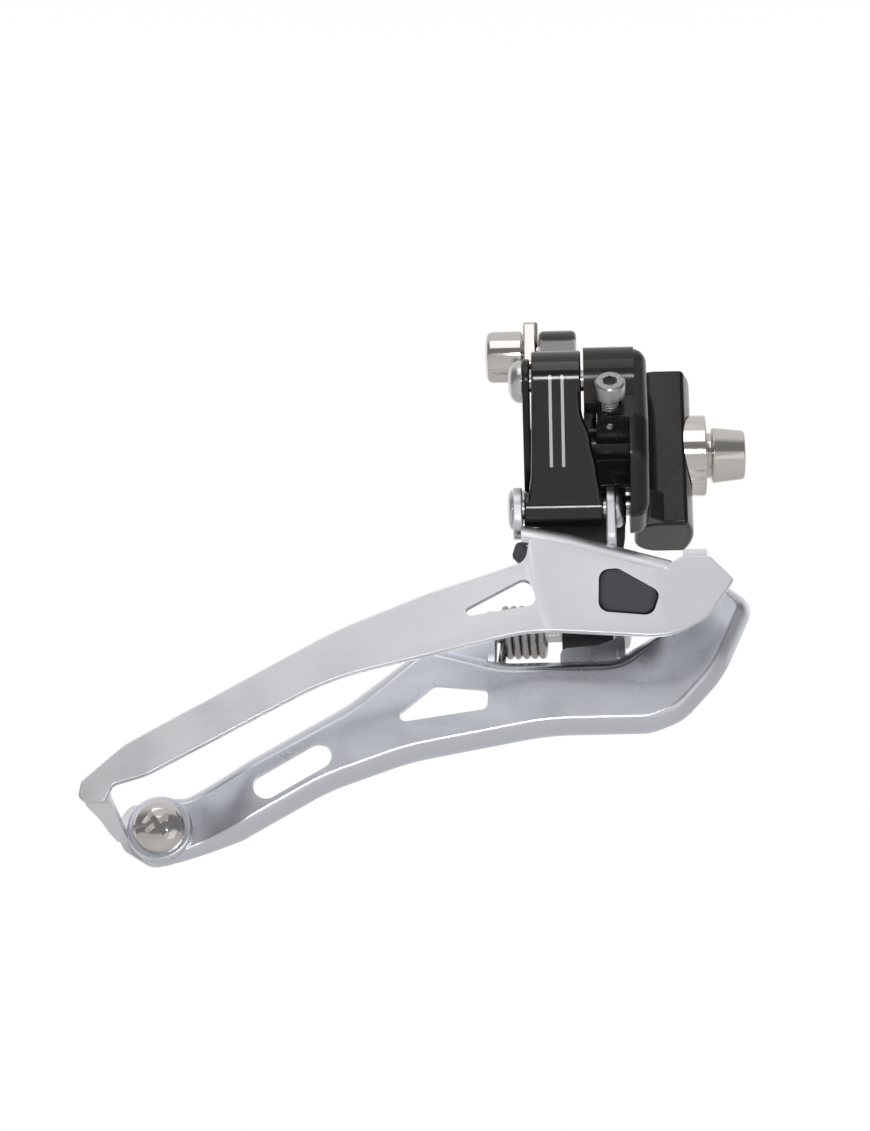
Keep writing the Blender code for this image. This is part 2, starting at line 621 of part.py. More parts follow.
def outer_cage_plate():
    panel = prism(rounded(OUTER_PLATE, 4), "Y", OUTER_FACE_Y, OUTER_FACE_Y + SHEET, 0.25, 1)
    plate = make_object("outer_cage_plate", panel, PARTS, OUTER_SILVER, at_axis(LOWER_OUTER))
    mid = SHEET / 2
    top = BRIDGE_TOP_Z - mid
    bend = 1.8
    near, far = OUTER_FACE_Y + mid, INNER_FACE_Y + SHEET + REST_GAP + mid
    bridge = [
        (y, z, BRIDGE_BACK_X, BRIDGE_FRONT_X) for y, z in (
            (near, -24.0), (near, top - bend), (near + 0.5, top - 0.5), (near + bend, top),
            (far - 1.9, top), (far - 0.5, top - 0.6), (far, top - 2.0), (far, -27.4))]
    fold = [
        (near, -56.3, -89.2, -85.3), (near + 0.3, -57.1, -89.2, -85.3),
        (near + 1.3, -57.6, -89.0, -85.2), (-8.0, -58.4, -87.7, -85.0), (-3.0, -59.0, -87.1, -84.9),
        (TAB_Y[0] + 0.6, -59.3, -86.5, -84.7)]
    tab = rounded([(-87.2, -57.8, 1.2), (-84.6, -54.4, 1.6), (-76.0, -54.6, 3.0), (-75.0, -61.5, 3.0),
                   (-81.0, -64.0, 3.0), (-85.4, -61.2, 1.2)], 4)
    fuse(plate,
         cutter("flange", flange_solid()),
         cutter("bridge", strip(bridge, SHEET - 2 * BLEND)),
         cutter("tail_fold", strip(fold, SHEET - 2 * BLEND)),
         cutter("tail_tab", prism(tab, "Y", *TAB_Y)),
         cutter("ear_back", ear_solid(LOWER_OUTER, (-11.4, -14.6), EAR_R - 0.3, EAR_BACK_X)),
         cutter("ear_front", ear_solid(LOWER_OUTER, (-11.5, -17.6), EAR_R - 0.7, EAR_FRONT_X)))
    cut(plate,
        cutter("window", prism(rounded(WINDOW, 5), "Y", -20.0, -12.0)),
        cutter("pad_window", prism(rounded(PAD_WINDOW, 5), "Y", -20.0, -12.0)),
        cutter("outer_ear_bore", round_bar("X", LOWER_OUTER, PIN_R + PIN_FIT, -35.0, -5.0)),
        cutter("tab_bore", round_bar("Y", TAIL_SCREW, TAIL_SCREW_R + PIN_FIT, -1.5, 3.0)),
        cutter("bridge_bore", round_bar("Y", BRIDGE_RIVET, RIVET_R + PIN_FIT, -6.0, 0.0)))


def ease(t):
    t = min(max(t, 0.0), 1.0)
    return t * t * (3 - 2 * t)


def lip_at(x, z):
    """Depth of the inner plate's pressed rim at a point of its outline."""
    share = 1.0
    for centre, near, far, least in SHALLOW_RIMS:
        away = math.hypot(x - centre[0], z - centre[1])
        share = min(share, least + (1 - least) * ease((away - near) / (far - near)))
    return LIP_DEEP * share


def tray(loop, face_y):
    """Pressed sheet: a flat face whose rim is swept inward."""
    total = len(loop)
    levels = 3
    outer_rings = [[] for _ in range(levels + 1)]
    inner_rings = [[] for _ in range(levels + 1)]
    for i, (x, z) in enumerate(loop):
        lip = lip_at(x, z)
        before, after = loop[i - 1], loop[(i + 1) % total]
        along = Vector((after[0] - before[0], after[1] - before[1])).normalized()
        inward = Vector((along.y, -along.x))
        width = max(LIP_WIDTH * lip / LIP_DEEP, 0.7)
        for k in range(levels + 1):
            t = k / levels
            fall = (1 - t) ** 2
            step = width * t
            outer_rings[k].append((x + inward.x * step, face_y + lip * fall, z + inward.y * step))
            back = step + (1 - t) * min(SHEET * 0.8, lip * 0.45)
            inner_rings[k].append((x + inward.x * back, face_y + lip * fall + SHEET * (0.55 + 0.45 * t),
                                   z + inward.y * back))
    bm = bmesh.new()
    rows = [[bm.verts.new(point) for point in ring] for ring in reversed(inner_rings)]
    rows += [[bm.verts.new(point) for point in ring] for ring in outer_rings]
    for near, far in zip(rows, rows[1:]):
        for i in range(total):
            j = (i + 1) % total
            bm.faces.new((near[i], near[j], far[j], far[i]))
    bm.faces.new(rows[0])
    bm.faces.new(rows[-1])
    bmesh.ops.recalc_face_normals(bm, faces=bm.faces)
    return bm


def inner_cage_plate():
    sheet = tray(rounded(INNER_PLATE, 4), INNER_FACE_Y)
    for x in (-66.0, -68.0, -70.0, -72.0, -74.0):
        bmesh.ops.bisect_plane(sheet, geom=sheet.verts[:] + sheet.edges[:] + sheet.faces[:],
                               plane_co=(x, 0, 0), plane_no=(1, 0, 0))
    for vert in sheet.verts:
        vert.co.y += STEP_DEEP * ease((-66.0 - vert.co.x) / 8.0)
    plate = make_object("inner_cage_plate", sheet, PARTS, INNER_SILVER, at_axis(LOWER_INNER))
    fuse(plate,
         cutter("tail_boss", round_bar("Y", TAIL_SCREW, TAIL_BOSS_R, INNER_FACE_Y - 0.2,
                                       TAB_Y[0] - REST_GAP, 0.4)),
         cutter("inner_ear_back", ear_solid(LOWER_INNER, (-0.6, -33.8), 1.5, INNER_EAR_BACK_X)),
         cutter("inner_ear_front", ear_solid(LOWER_INNER, (-0.6, -33.2), 1.5, INNER_EAR_FRONT_X)))
    tongue_y = (INNER_FACE_Y + 2.3, INNER_FACE_Y + 2.3 + SHEET)
    near_tongue = rounded([(-38.6, -33.6, 0.5), (-36.6, -29.4, 1.5), (-30.4, -29.4, 0.5), (-30.4, -34.4, 0.3)], 3)
    far_tongue = rounded([(-20.6, -34.6, 0.3), (-20.6, -31.6, 1.2), (-15.0, -31.2, 1.0), (-10.9, -29.6, 0.8),
                          (-10.9, -33.6, 0.3)], 3)
    fuse(plate,
         cutter("back_tongue", prism(near_tongue, "Y", *tongue_y)),
         cutter("front_tongue", prism(far_tongue, "Y", *tongue_y)))
    slot = capsule(SLOT_ENDS[0], SLOT_ENDS[1], SLOT_R, SLOT_R)
    cut(plate,
        cutter("slot", prism(slot, "Y", -8.0, 3.0)),
        cutter("large_hole", prism(rounded(LARGE_HOLE, 5), "Y", -8.0, 3.0)),
        cutter("inner_ear_bore", round_bar("X", LOWER_INNER, PIN_R + PIN_FIT, -35.0, -5.0)),
        cutter("boss_bore", round_bar("Y", TAIL_SCREW, TAIL_SCREW_R + PIN_FIT, -8.0, 3.0)),
        cutter("nose_bore", round_bar("Y", BRIDGE_RIVET, RIVET_R + PIN_FIT, -8.0, 3.0)))


def stud(name, centre, shader, profile, count=24):
    """Turned piece along +Y at an (X, Z) centre, from (radius, y) pairs."""
    bm = aim(turned(profile, count), (0, 1, 0), (centre[0], 0, centre[1]))
    return make_object(name, bm, PARTS, shader)


def cage_tail_screw():
    face = INNER_FACE_Y - 0.2 - REST_GAP
    profile = [
        (0, face - 2.3), (1.6, face - 2.2), (2.8, face - 1.8), (TAIL_HEAD_R - 0.15, face - 0.9),
        (TAIL_HEAD_R, face - 0.4), (TAIL_HEAD_R, face), (TAIL_SCREW_R, face), (TAIL_SCREW_R, 4.2),
        (TAIL_SCREW_R - 0.4, 4.6), (0, 4.6),
    ]
    screw = stud("cage_tail_screw", TAIL_SCREW, CHROME, profile, ROUND)
    x, z = TAIL_SCREW
    for turn, name in ((math.radians(38), "recess_a"), (math.radians(128), "recess_b")):
        half = (2.0, 0.42)
        bar = []
        for u, v in ((-1, -1), (1, -1), (1, 1), (-1, 1)):
            bar.append((x + u * half[0] * math.cos(turn) - v * half[1] * math.sin(turn),
                        z + u * half[0] * math.sin(turn) + v * half[1] * math.cos(turn)))
        cut(screw, cutter(name, prism(bar, "Y", face - 4, face - 1.0)))


def tail_nut():
    low = TAB_Y[1] + REST_GAP
    shape = circle(TAIL_SCREW, 5.5 / math.sqrt(3), 6)
    nut = make_object("tail_nut", prism(shape, "Y", low, low + 2.4, 0.25, 1), PARTS, ZINC)
    cut(nut, cutter("nut_bore", round_bar("Y", TAIL_SCREW, TAIL_SCREW_R + PIN_FIT, low - 1, low + 4)))


def bridge_rivet():
    near = INNER_FACE_Y - REST_GAP
    far = INNER_FACE_Y + 2 * SHEET + 2 * REST_GAP
    profile = [
        (0, near - 0.8), (1.2, near - 0.7), (1.9, near - 0.3), (2.0, near), (RIVET_R, near),
        (RIVET_R, far), (1.8, far), (1.7, far + 0.5), (1.0, far + 0.8), (0, far + 0.8),
    ]
    stud("bridge_rivet", BRIDGE_RIVET, RIVET, profile)


def chain_pad():
    """Plastic pad that fills a window and clips behind the outer plate."""
    gap = 0.25
    middle = (sum(p[0] for p in PAD_WINDOW) / len(PAD_WINDOW),
              sum(p[1] for p in PAD_WINDOW) / len(PAD_WINDOW))

    def grown(amount):
        out = []
        for x, z, radius in PAD_WINDOW:
            away = Vector((x - middle[0], z - middle[1])).normalized() * amount
            out.append((x + away.x, z + away.y, radius))
        return rounded(out, 5)

    back = OUTER_FACE_Y + SHEET
    slab = prism(grown(-1.5 * gap), "Y", OUTER_FACE_Y - 0.9, back + 0.6, 0.7)
    pad = make_object("chain_pad", slab, PARTS, PLASTIC)
    fuse(pad, cutter("pad_clip", prism(grown(1.0), "Y", back + gap, back + 1.1, 0.2, 1)))


def liner_hook():
    back = OUTER_FACE_Y + SHEET + 0.2
    shape = rounded([(-27.4, -20.8, 0.5), (-26.6, -18.3, 0.8), (-25.6, -19.0, 0.4), (-23.5, -21.0, 1.0),
                     (-19.0, -22.6, 0.8), (-19.4, -24.4, 0.8), (-24.6, -23.8, 1.2)], 4)
    make_object("liner_hook", prism(shape, "Y", back, back + 1.5, 0.25, 1), PARTS, PLASTIC)


def return_spring():
    """Torsion spring round the lower inner pin, one leg on the cage and one beside the link."""
    count = 63
    y, z = LOWER_INNER
    path = []
    for i in range(count + 1):
        swept = SPRING_SWEEP_DEG * i / count
        turn = math.radians(SPRING_START_DEG + swept)
        path.append(Vector((SPRING_BACK_X + SPRING_PITCH * swept / 360,
                            y + SPRING_MEAN_R * math.cos(turn), z + SPRING_MEAN_R * math.sin(turn))))
    leg = path[0] - path[1]
    leg.x = 0
    first = path[0] + leg.normalized() * SPRING_CAGE_LEG
    tail = path[-1] - path[-2]
    tail.x = 0
    last = path[-1] + tail.normalized() * SPRING_LINK_LEG
    path = [first] + path + [last]
    sides = 6
    sections = []
    for i, point in enumerate(path):
        before, after = path[max(i - 1, 0)], path[min(i + 1, len(path) - 1)]
        along = (after - before).normalized()
        side = along.cross(Vector((1, 0, 0))).normalized()
        other = along.cross(side).normalized()
        sections.append([tuple(point + SPRING_WIRE_R * (side * math.cos(2 * math.pi * k / sides)
                                                        + other * math.sin(2 * math.pi * k / sides)))
                         for k in range(sides)])
    make_object("return_spring", loft(sections), PARTS, SPRING_STEEL, at_axis(LOWER_INNER))


# ---------------------------------------------------------------- assembly

def build():
    body_casting()
    mounting_bolt()
    saddle_washer()
    for name in LIMITS:
        limit_screw(name)
    pivot_pin("upper_outer_pivot_pin", UPPER_OUTER, REAR_EAR_BACK_X - REST_GAP, -14.3, 2.0)
    pivot_pin("upper_inner_pivot_pin", UPPER_INNER, REAR_EAR_BACK_X - REST_GAP, -6.0, 1.2, 0.0, 2.6)
    pivot_pin("lower_outer_pivot_pin", LOWER_OUTER, EAR_BACK_X - REST_GAP,
              EAR_FRONT_X + EAR_THICK + REST_GAP, 0.7, 1.5, 3.0)
    pivot_pin("lower_inner_pivot_pin", LOWER_INNER, INNER_EAR_BACK_X - REST_GAP,
              INNER_EAR_FRONT_X + EAR_THICK + REST_GAP, 1.0, 1.0, 2.8)
    outer_link()
    bush("upper_outer_bush", UPPER_OUTER, LINK_BACK_X, LINK_FRONT_TOP_X)
    bush("lower_outer_bush", LOWER_OUTER, EAR_BACK_X + EAR_THICK + TURN_GAP, LINK_FRONT_LOW_X)
    cable_anchor_bolt()
    cable_clamp_washer()
    inner_link()
    bush("upper_inner_bush", UPPER_INNER, INNER_BACK_X, INNER_FRONT_X)
    bush("lower_inner_bush", LOWER_INNER, INNER_LOW_BACK_X, INNER_LOW_FRONT_X)
    outer_cage_plate()
    inner_cage_plate()
    cage_tail_screw()
    tail_nut()
    bridge_rivet()
    chain_pad()
    liner_hook()
    return_spring()


build()
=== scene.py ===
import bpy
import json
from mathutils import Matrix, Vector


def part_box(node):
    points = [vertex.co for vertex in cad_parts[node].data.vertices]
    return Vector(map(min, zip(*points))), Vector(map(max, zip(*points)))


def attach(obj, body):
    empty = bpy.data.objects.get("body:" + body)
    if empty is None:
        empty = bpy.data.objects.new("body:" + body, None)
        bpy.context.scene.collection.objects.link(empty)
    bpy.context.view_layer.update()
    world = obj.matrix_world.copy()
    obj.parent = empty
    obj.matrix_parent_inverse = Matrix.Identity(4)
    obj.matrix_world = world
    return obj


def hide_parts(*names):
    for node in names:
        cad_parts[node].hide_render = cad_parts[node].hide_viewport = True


bl_info = {
    "name": "Front Derailleur",
    "version": (1, 0, 0),
    "blender": (4, 5, 0),
    "location": "View3D > Sidebar > Derailleur",
    "description": "Finished pieces, finishes and studio for a saddle-mounted front derailleur",
    "category": "Object",
}

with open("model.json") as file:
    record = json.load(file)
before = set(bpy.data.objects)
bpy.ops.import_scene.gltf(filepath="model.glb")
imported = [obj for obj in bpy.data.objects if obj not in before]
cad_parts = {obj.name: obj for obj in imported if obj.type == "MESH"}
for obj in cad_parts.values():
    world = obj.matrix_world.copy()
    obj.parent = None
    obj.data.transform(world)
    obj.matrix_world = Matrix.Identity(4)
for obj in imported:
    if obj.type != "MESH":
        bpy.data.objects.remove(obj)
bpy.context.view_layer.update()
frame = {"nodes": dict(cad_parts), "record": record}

import json
import math

import bmesh
import bpy
from bpy.props import FloatProperty, FloatVectorProperty, PointerProperty
from mathutils import Matrix, Vector

MM = 0.001


# ------------------------------------------------------------ places read from the frame, in millimetres

def joint_axis(name):
    """(Y, Z) of a joint's axis."""
    spot = next(j for j in frame["record"]["behaviour"]["joints"] if j["name"] == name)["pos_m"]
    return (spot[1] / MM, spot[2] / MM)


def low_high(node):
    """Lowest and highest corner of a node, in millimetres."""
    return tuple(Vector(corner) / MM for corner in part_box(node))


def middle_of(node, *axes):
    """Middle of a node along the given axes, in millimetres."""
    low, high = low_high(node)
    return tuple((low[a] + high[a]) / 2 for a in axes)


UPPER_OUTER = joint_axis("shift_swing")
UPPER_INNER = joint_axis("inner_swing")
LOWER_OUTER = joint_axis("cage_level")
LOWER_INNER = middle_of("lower_inner_bush", 1, 2)
ANCHOR = middle_of("cable_anchor_bolt", 1, 2)
TAIL_SCREW = middle_of("cage_tail_screw", 0, 2)
BRIDGE_RIVET = middle_of("bridge_rivet", 0, 2)
PAD_PROUD = 0.9                 # how far the chain pad stands out of the plate
OUTER_FACE_Y = low_high("chain_pad")[0].y + PAD_PROUD
SPAN = (LOWER_OUTER[0] - UPPER_OUTER[0], LOWER_OUTER[1] - UPPER_OUTER[1])
LINK_LENGTH = math.hypot(*SPAN)
LINK_LEAN_DEG = math.degrees(math.atan2(SPAN[0], -SPAN[1]))

PIN_R = 1.6
PIN_FIT = 0.15                  # radial clearance round a fixed pin
BUSH_WALL = 0.5
TURN_GAP = 0.3                  # clearance beside parts that turn
PIN_HOLE_R = PIN_R + PIN_FIT
BUSH_SEAT_R = PIN_HOLE_R + BUSH_WALL + PIN_FIT

# Saddle block and its clamp
SADDLE_R = 14.0
BLOCK_HALF_Y = 5.5
BLOCK_BACK_X = -9.0
BLOCK_TOP_Z = 12.0
BLOCK_BOTTOM_Z = -13.5
BOLT_R = 2.5
BOLT_FIT = 0.3
WASHER_R = 6.25
WASHER_FRONT_X = 2.2
WASHER_GAP = 0.1
BOLT_HEAD_BACK_X = 3.0
BOLT_HEAD_FRONT_X = 8.2
BOLT_HEAD_R = 4.3
BOLT_TIP_HEAD_R = 3.8
BOLT_COLLAR_R = 3.5
BOLT_SOCKET = 4.0               # across the flats

# Casting
KNUCKLE_BACK_X = -14.6
KNUCKLE_FRONT_X = -7.0
RECESS_TOP_Z = -3.2
WALL_BACK_X = -9.8
KNUCKLE_BOSS_R = 4.9
KNUCKLE_BOSS_BACK_X = -16.4
REAR_EAR_BACK_X = -25.5
REAR_EAR_FRONT_X = -24.4
REAR_EAR_R = 3.4
SPINE = (-10.2, -2.3)
SPINE_R = 2.6

# Limit screws
LIMIT_R = 1.3
LIMIT_HEAD_R = 2.25
LIMIT_HEAD_LONG = 2.6
LIMIT_FIT = 0.15
LIMIT_SOCKET = 2.0
THREAD_CREST = 0.11

# Outer link and cable arm
LINK_BACK_X = -24.1
LINK_FRONT_TOP_X = -16.8
LINK_FRONT_LOW_X = -13.8
LINK_BARREL_R = 4.5
LINK_LOW_BARREL_R = 2.75
ARM_R = 3.2
ARM_BACK_X = -23.1
ARM_FRONT_X = -17.3
ARM_LUG_R = 3.9
ANCHOR_R = 2.5
ANCHOR_HEAD_R = 3.95
ANCHOR_SOCKET = 4.0
LINK_CUT = (-30.0, -10.0)       # X limits of a bore through the outer link or its washer

# Inner link
INNER_BACK_X = -24.0
INNER_FRONT_X = -10.3
INNER_LOW_BACK_X = -20.3
INNER_LOW_FRONT_X = -12.6
INNER_BARREL_R = 3.1

# Cage
SHEET = 1.2
INNER_FACE_Y = -4.0
EAR_R = 3.3
EAR_THICK = 1.4
EAR_BACK_X = -27.2
EAR_FRONT_X = -13.4
INNER_EAR_BACK_X = -31.6
INNER_EAR_FRONT_X = -12.2
FLANGE_BEND_R = 2.4
FLANGE_INBOARD_Y = -7.9
LIP_WIDTH = 2.3
BRIDGE_BACK_X = -2.2
BRIDGE_FRONT_X = 1.2
BRIDGE_TOP_Z = -20.0
TAIL_SCREW_R = 1.9
TAIL_HEAD_R = 3.8
TAIL_BOSS_R = 4.8
TAB_Y = (0.2, 1.4)
STEP_DEEP = 1.2                 # how far the inner plate's tail sits further in
STEP_START_X = -66.0
STEP_LONG = 8.0
TONGUE_IN = 2.3                 # how far the inner plate's tongues lie behind its face
REST_GAP = 0.1                  # between pieces that are clamped together
BLEND = 0.08                    # how far a joined solid dips under the face it meets
RIVET_R = 1.1

# Return spring
SPRING_WIRE_R = 0.6
SPRING_MEAN_R = 3.5
SPRING_START_DEG = 300.0
SPRING_SWEEP_DEG = 1882.0
SPRING_BACK_X = -29.4
SPRING_PITCH = 1.25
SPRING_CAGE_LEG = 6.0
SPRING_LINK_LEG = 4.0          # short enough to stay clear of the link's wide part as it swings

ROUND = 72

# Printed lines on the outer link, in metres
LINE_OFFSET = 0.0009            # from the link's middle
LINE_TOP_GAP = 0.001            # below the upper pivot
LINE_FOOT_GAP = 0.0045          # above the lower pivot

# Stage: places in metres
CAMERA_AZIMUTH_DEG = 3
CAMERA_ELEVATION_DEG = -21
CAMERA_PLACE = (-0.018637, -0.396922, -0.169825)
CAMERA_LENS = 59.31             # millimetres, on a frame 24 mm high
WHITE = (1.0, 1.0, 1.0)
OVERHEAD_TONE = (0.7, 0.7, 0.7)

# Chain cage outlines: corners (X, Z, corner radius) in millimetres, clockwise seen from outside
OUTER_PLATE = [
    (-2.5, -22.0, 0.8), (1.5, -22.0, 1.2), (5.0, -25.8, 0.8), (1.0, -31.5, 6.5), (-4.5, -34.5, 12.0),
    (-24.5, -33.0, 30.0), (-54.0, -40.0, 40.0), (-80.0, -54.0, 5.0), (-85.0, -55.5, 1.2),
    (-86.0, -58.0, 0.6), (-90.0, -57.8, 1.0), (-89.6, -55.0, 1.0), (-83.5, -49.5, 12.0),
    (-53.0, -32.5, 60.0), (-39.5, -27.0, 30.0), (-25.5, -22.4, 2.0), (-24.8, -18.4, 0.7),
    (-6.0, -24.2, 3.0),
]
FLANGE_LINE = [(-26.0, -16.0), (-19.0, -17.5), (-4.0, -22.0)]
WINDOW = [(-37.4, -31.4, 0.7), (-24.9, -24.6, 1.4), (-23.7, -29.2, 1.3)]
PAD_WINDOW = [(-14.7, -23.9, 1.6), (-11.9, -23.8, 1.4), (-5.8, -27.6, 1.4), (-7.0, -31.2, 1.6),
              (-14.9, -30.4, 1.6)]
INNER_PLATE = [
    (-84.4, -54.2, 4.4), (-76.2, -54.0, 2.5), (-52.5, -40.0, 25.0), (-40.5, -31.0, 4.0),
    (-29.0, -33.8, 15.0), (-12.5, -33.6, 6.0), (-3.0, -28.2, 2.5), (-2.2, -21.8, 1.8),
    (3.4, -21.8, 3.0), (8.8, -25.0, 3.0), (3.6, -36.5, 20.0), (-2.6, -43.3, 9.0), (-7.5, -45.1, 7.0),
    (-22.5, -45.2, 40.0), (-43.0, -49.0, 40.0), (-55.0, -53.3, 30.0), (-67.5, -60.5, 6.0),
    (-77.0, -63.8, 5.0), (-84.4, -64.4, 4.6),
]
LIP_DEEP = 2.4                  # how far the inner plate's rim is pressed inward
LIP_LEAST_WIDTH = 0.7
# Where that rim is shallower: (X, Z), radius that stays shallow, radius where it is full, least share
SHALLOW_RIMS = (
    ((-84.0, -59.0), 4.0, 17.0, 0.33),
    ((-1.5, -24.0), 3.0, 9.0, 0.12),
    ((-44.5, -34.0), 3.0, 9.0, 0.67),
)
SLOT_ENDS = ((-64.0, -52.9), (-56.5, -48.5))
SLOT_R = 2.0
LARGE_HOLE = [(-46.6, -43.8, 0.9), (-39.3, -37.7, 1.4), (-31.3, -38.5, 1.1), (-31.5, -41.6, 1.0)]


# ---------------------------------------------------------------- outlines and solids

def rounded(corners, steps=5):
    """Polygon whose corners (x, y, radius) are rounded by arcs."""
    out = []
    total = len(corners)
    for i, (x, y, radius) in enumerate(corners):
        here = Vector((x, y))
        back = (Vector(corners[i - 1][:2]) - here).normalized()
        ahead = (Vector(corners[(i + 1) % total][:2]) - here).normalized()
        half = back.angle(ahead) / 2
        if radius <= 0:
            out.append((x, y))
            continue
        centre = here + (back + ahead).normalized() * (radius / math.sin(half))
        first = here + back * (radius / math.tan(half)) - centre
        last = here + ahead * (radius / math.tan(half)) - centre
        sweep = first.angle_signed(last)
        for s in range(steps + 1):
            spoke = first.copy()
            spoke.rotate(Matrix.Rotation(-sweep * s / steps, 2))
            out.append(tuple(centre + spoke))
    return out


def capsule(a, b, radius_a, radius_b, steps=12):
    """Outline of two circles and their outer tangents."""
    start, end = Vector(a), Vector(b)
    along = end - start
    heading = math.atan2(along.y, along.x)
    open_half = math.acos((radius_a - radius_b) / along.length)
    out = []
    for centre, radius, low, high in (
            (start, radius_a, heading + open_half, heading + 2 * math.pi - open_half),
            (end, radius_b, heading - open_half, heading + open_half)):
        for s in range(steps + 1):
            turn = low + (high - low) * s / steps
            out.append((centre.x + radius * math.cos(turn), centre.y + radius * math.sin(turn)))
    return out


PLANES = {
    "X": lambda u, v, w: (w, u, v),
    "Y": lambda u, v, w: (u, w, v),
    "Z": lambda u, v, w: (u, v, w),
}


def prism(outline, axis, low, high, bevel=0.0, bevel_steps=5):
    """Outline pushed along an axis; its end edges may be rounded."""
    place = PLANES[axis]
    bm = bmesh.new()
    rings = [[bm.verts.new(place(u, v, w)) for u, v in outline] for w in (low, high)]
    ends = [bm.faces.new(ring) for ring in rings]
    total = len(outline)
    for i in range(total):
        j = (i + 1) % total
        bm.faces.new((rings[0][i], rings[0][j], rings[1][j], rings[1][i]))
    bmesh.ops.recalc_face_normals(bm, faces=bm.faces)
    if bevel:
        edges = list({edge for face in ends for edge in face.edges})
        bmesh.ops.bevel(bm, geom=edges, offset=bevel, segments=bevel_steps, profile=0.5,
                        affect="EDGES", clamp_overlap=True)
    return bm


def circle(centre, radius, count=ROUND):
    """Points of a circle in a plane."""
    return [(centre[0] + radius * math.cos(2 * math.pi * i / count),
             centre[1] + radius * math.sin(2 * math.pi * i / count)) for i in range(count)]


def round_bar(axis, centre, radius, low, high, bevel=0.0, count=ROUND):
    """Cylinder between two places along an axis."""
    return prism(circle(centre, radius, count), axis, low, high, bevel, 4)


def turned(profile, count=ROUND):
    """Solid of revolution about X from (radius, x) pairs that start and end on the axis."""
    bm = bmesh.new()
    chain = [bm.verts.new((x, radius, 0.0)) for radius, x in profile]
    edges = [bm.edges.new(pair) for pair in zip(chain, chain[1:])]
    bmesh.ops.spin(bm, geom=chain + edges, cent=(0, 0, 0), axis=(1, 0, 0), angle=2 * math.pi,
                   steps=count, use_merge=True)
    bmesh.ops.remove_doubles(bm, verts=bm.verts, dist=0.001)
    bmesh.ops.recalc_face_normals(bm, faces=bm.faces)
    return bm


def aim(bm, direction, place):
    """Turn a solid made along +X to a direction and move it."""
    turn = Vector((1, 0, 0)).rotation_difference(Vector(direction)).to_matrix().to_4x4()
    bmesh.ops.transform(bm, verts=bm.verts, matrix=Matrix.Translation(place) @ turn)
    return bm


def hex_prism(across_flats, low, high):
    """Hexagon along X, for a socket."""
    return prism(circle((0, 0), across_flats / math.sqrt(3), 6), "X", low, high)


def loft(sections):
    """Closed solid through rings of equal count."""
    bm = bmesh.new()
    rings = [[bm.verts.new(point) for point in ring] for ring in sections]
    total = len(rings[0])
    for near, far in zip(rings, rings[1:]):
        for i in range(total):
            j = (i + 1) % total
            bm.faces.new((near[i], near[j], far[j], far[i]))
    bm.faces.new(rings[0])
    bm.faces.new(rings[-1])
    bmesh.ops.recalc_face_normals(bm, faces=bm.faces)
    return bm


def at_axis(pair, x=0.0):
    """Point in space for a (Y, Z) pair."""
    return (x, pair[0], pair[1])


# ---------------------------------------------------------------- making solids

def solid(name, bm):
    """Object in metres whose mesh holds its place, from a mesh in millimetres."""
    bmesh.ops.recalc_face_normals(bm, faces=bm.faces)
    bmesh.ops.scale(bm, verts=bm.verts, vec=(MM, MM, MM))
    mesh = bpy.data.meshes.new(name)
    bm.to_mesh(mesh)
    bm.free()
    for face in mesh.polygons:
        face.use_smooth = True
    obj = bpy.data.objects.new(name, mesh)
    bpy.context.scene.collection.objects.link(obj)
    return obj


def taken(obj):
    """The object's mesh with its modifiers' work kept."""
    graph = bpy.context.evaluated_depsgraph_get()
    mesh = bpy.data.meshes.new_from_object(obj.evaluated_get(graph))
    obj.modifiers.clear()
    obj.data = mesh
    return mesh


def shape(name, base, joined=(), removed=(), soften=None, sharp_deg=38):
    """Base solid with others joined to it and cut from it, and its edges softened."""
    obj = solid(name, base)
    tools = []
    for operation, solids in (("UNION", joined), ("DIFFERENCE", removed)):
        for bm in solids:
            tool = solid(name + "_tool", bm)
            step = obj.modifiers.new("join_or_cut", "BOOLEAN")
            step.operation = operation
            step.solver = "EXACT"
            step.object = tool
            tools.append(tool)
    width = bpy.context.scene.derailleur_detail.edge_softness if soften is None else soften
    if width:
        edge = obj.modifiers.new("soft_edges", "BEVEL")
        edge.width = width
        edge.segments = 3
        edge.limit_method = "ANGLE"
        edge.angle_limit = math.radians(35)
    mesh = taken(obj)
    for tool in tools:
        bpy.data.objects.remove(tool, do_unlink=True)
    for face in mesh.polygons:
        face.use_smooth = True
    mesh.set_sharp_from_angle(angle=math.radians(sharp_deg))
    even = obj.modifiers.new("even_shading", "WEIGHTED_NORMAL")
    even.weight = 100
    even.keep_sharp = True
    taken(obj)
    return obj


def recoat(mesh, finish):
    """Give a mesh one finish in place of those it has."""
    mesh.materials.clear()
    mesh.materials.append(FINISH[finish])


def dress(obj, body, finish, *nodes):
    """Finish a piece, tie it to its body and hide the nodes it stands for; slot and finish share a name."""
    recoat(obj.data, finish)
    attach(obj, body)
    if nodes:
        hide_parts(*nodes)
    return obj


def moved(bm, offset):
    """The solid, shifted."""
    bmesh.ops.translate(bm, verts=bm.verts, vec=offset)
    return bm


# ---------------------------------------------------------------- shared effects

def effect(name, inputs, outputs):
    """Empty shader group with named sockets, and its inner input and output nodes."""
    tree = bpy.data.node_groups.new(name, "ShaderNodeTree")
    for label, kind, default in inputs:
        made = tree.interface.new_socket(label, in_out="INPUT", socket_type=kind)
        if default is not None:
            made.default_value = default
    for label, kind in outputs:
        tree.interface.new_socket(label, in_out="OUTPUT", socket_type=kind)
    return tree, tree.nodes.new("NodeGroupInput"), tree.nodes.new("NodeGroupOutput")


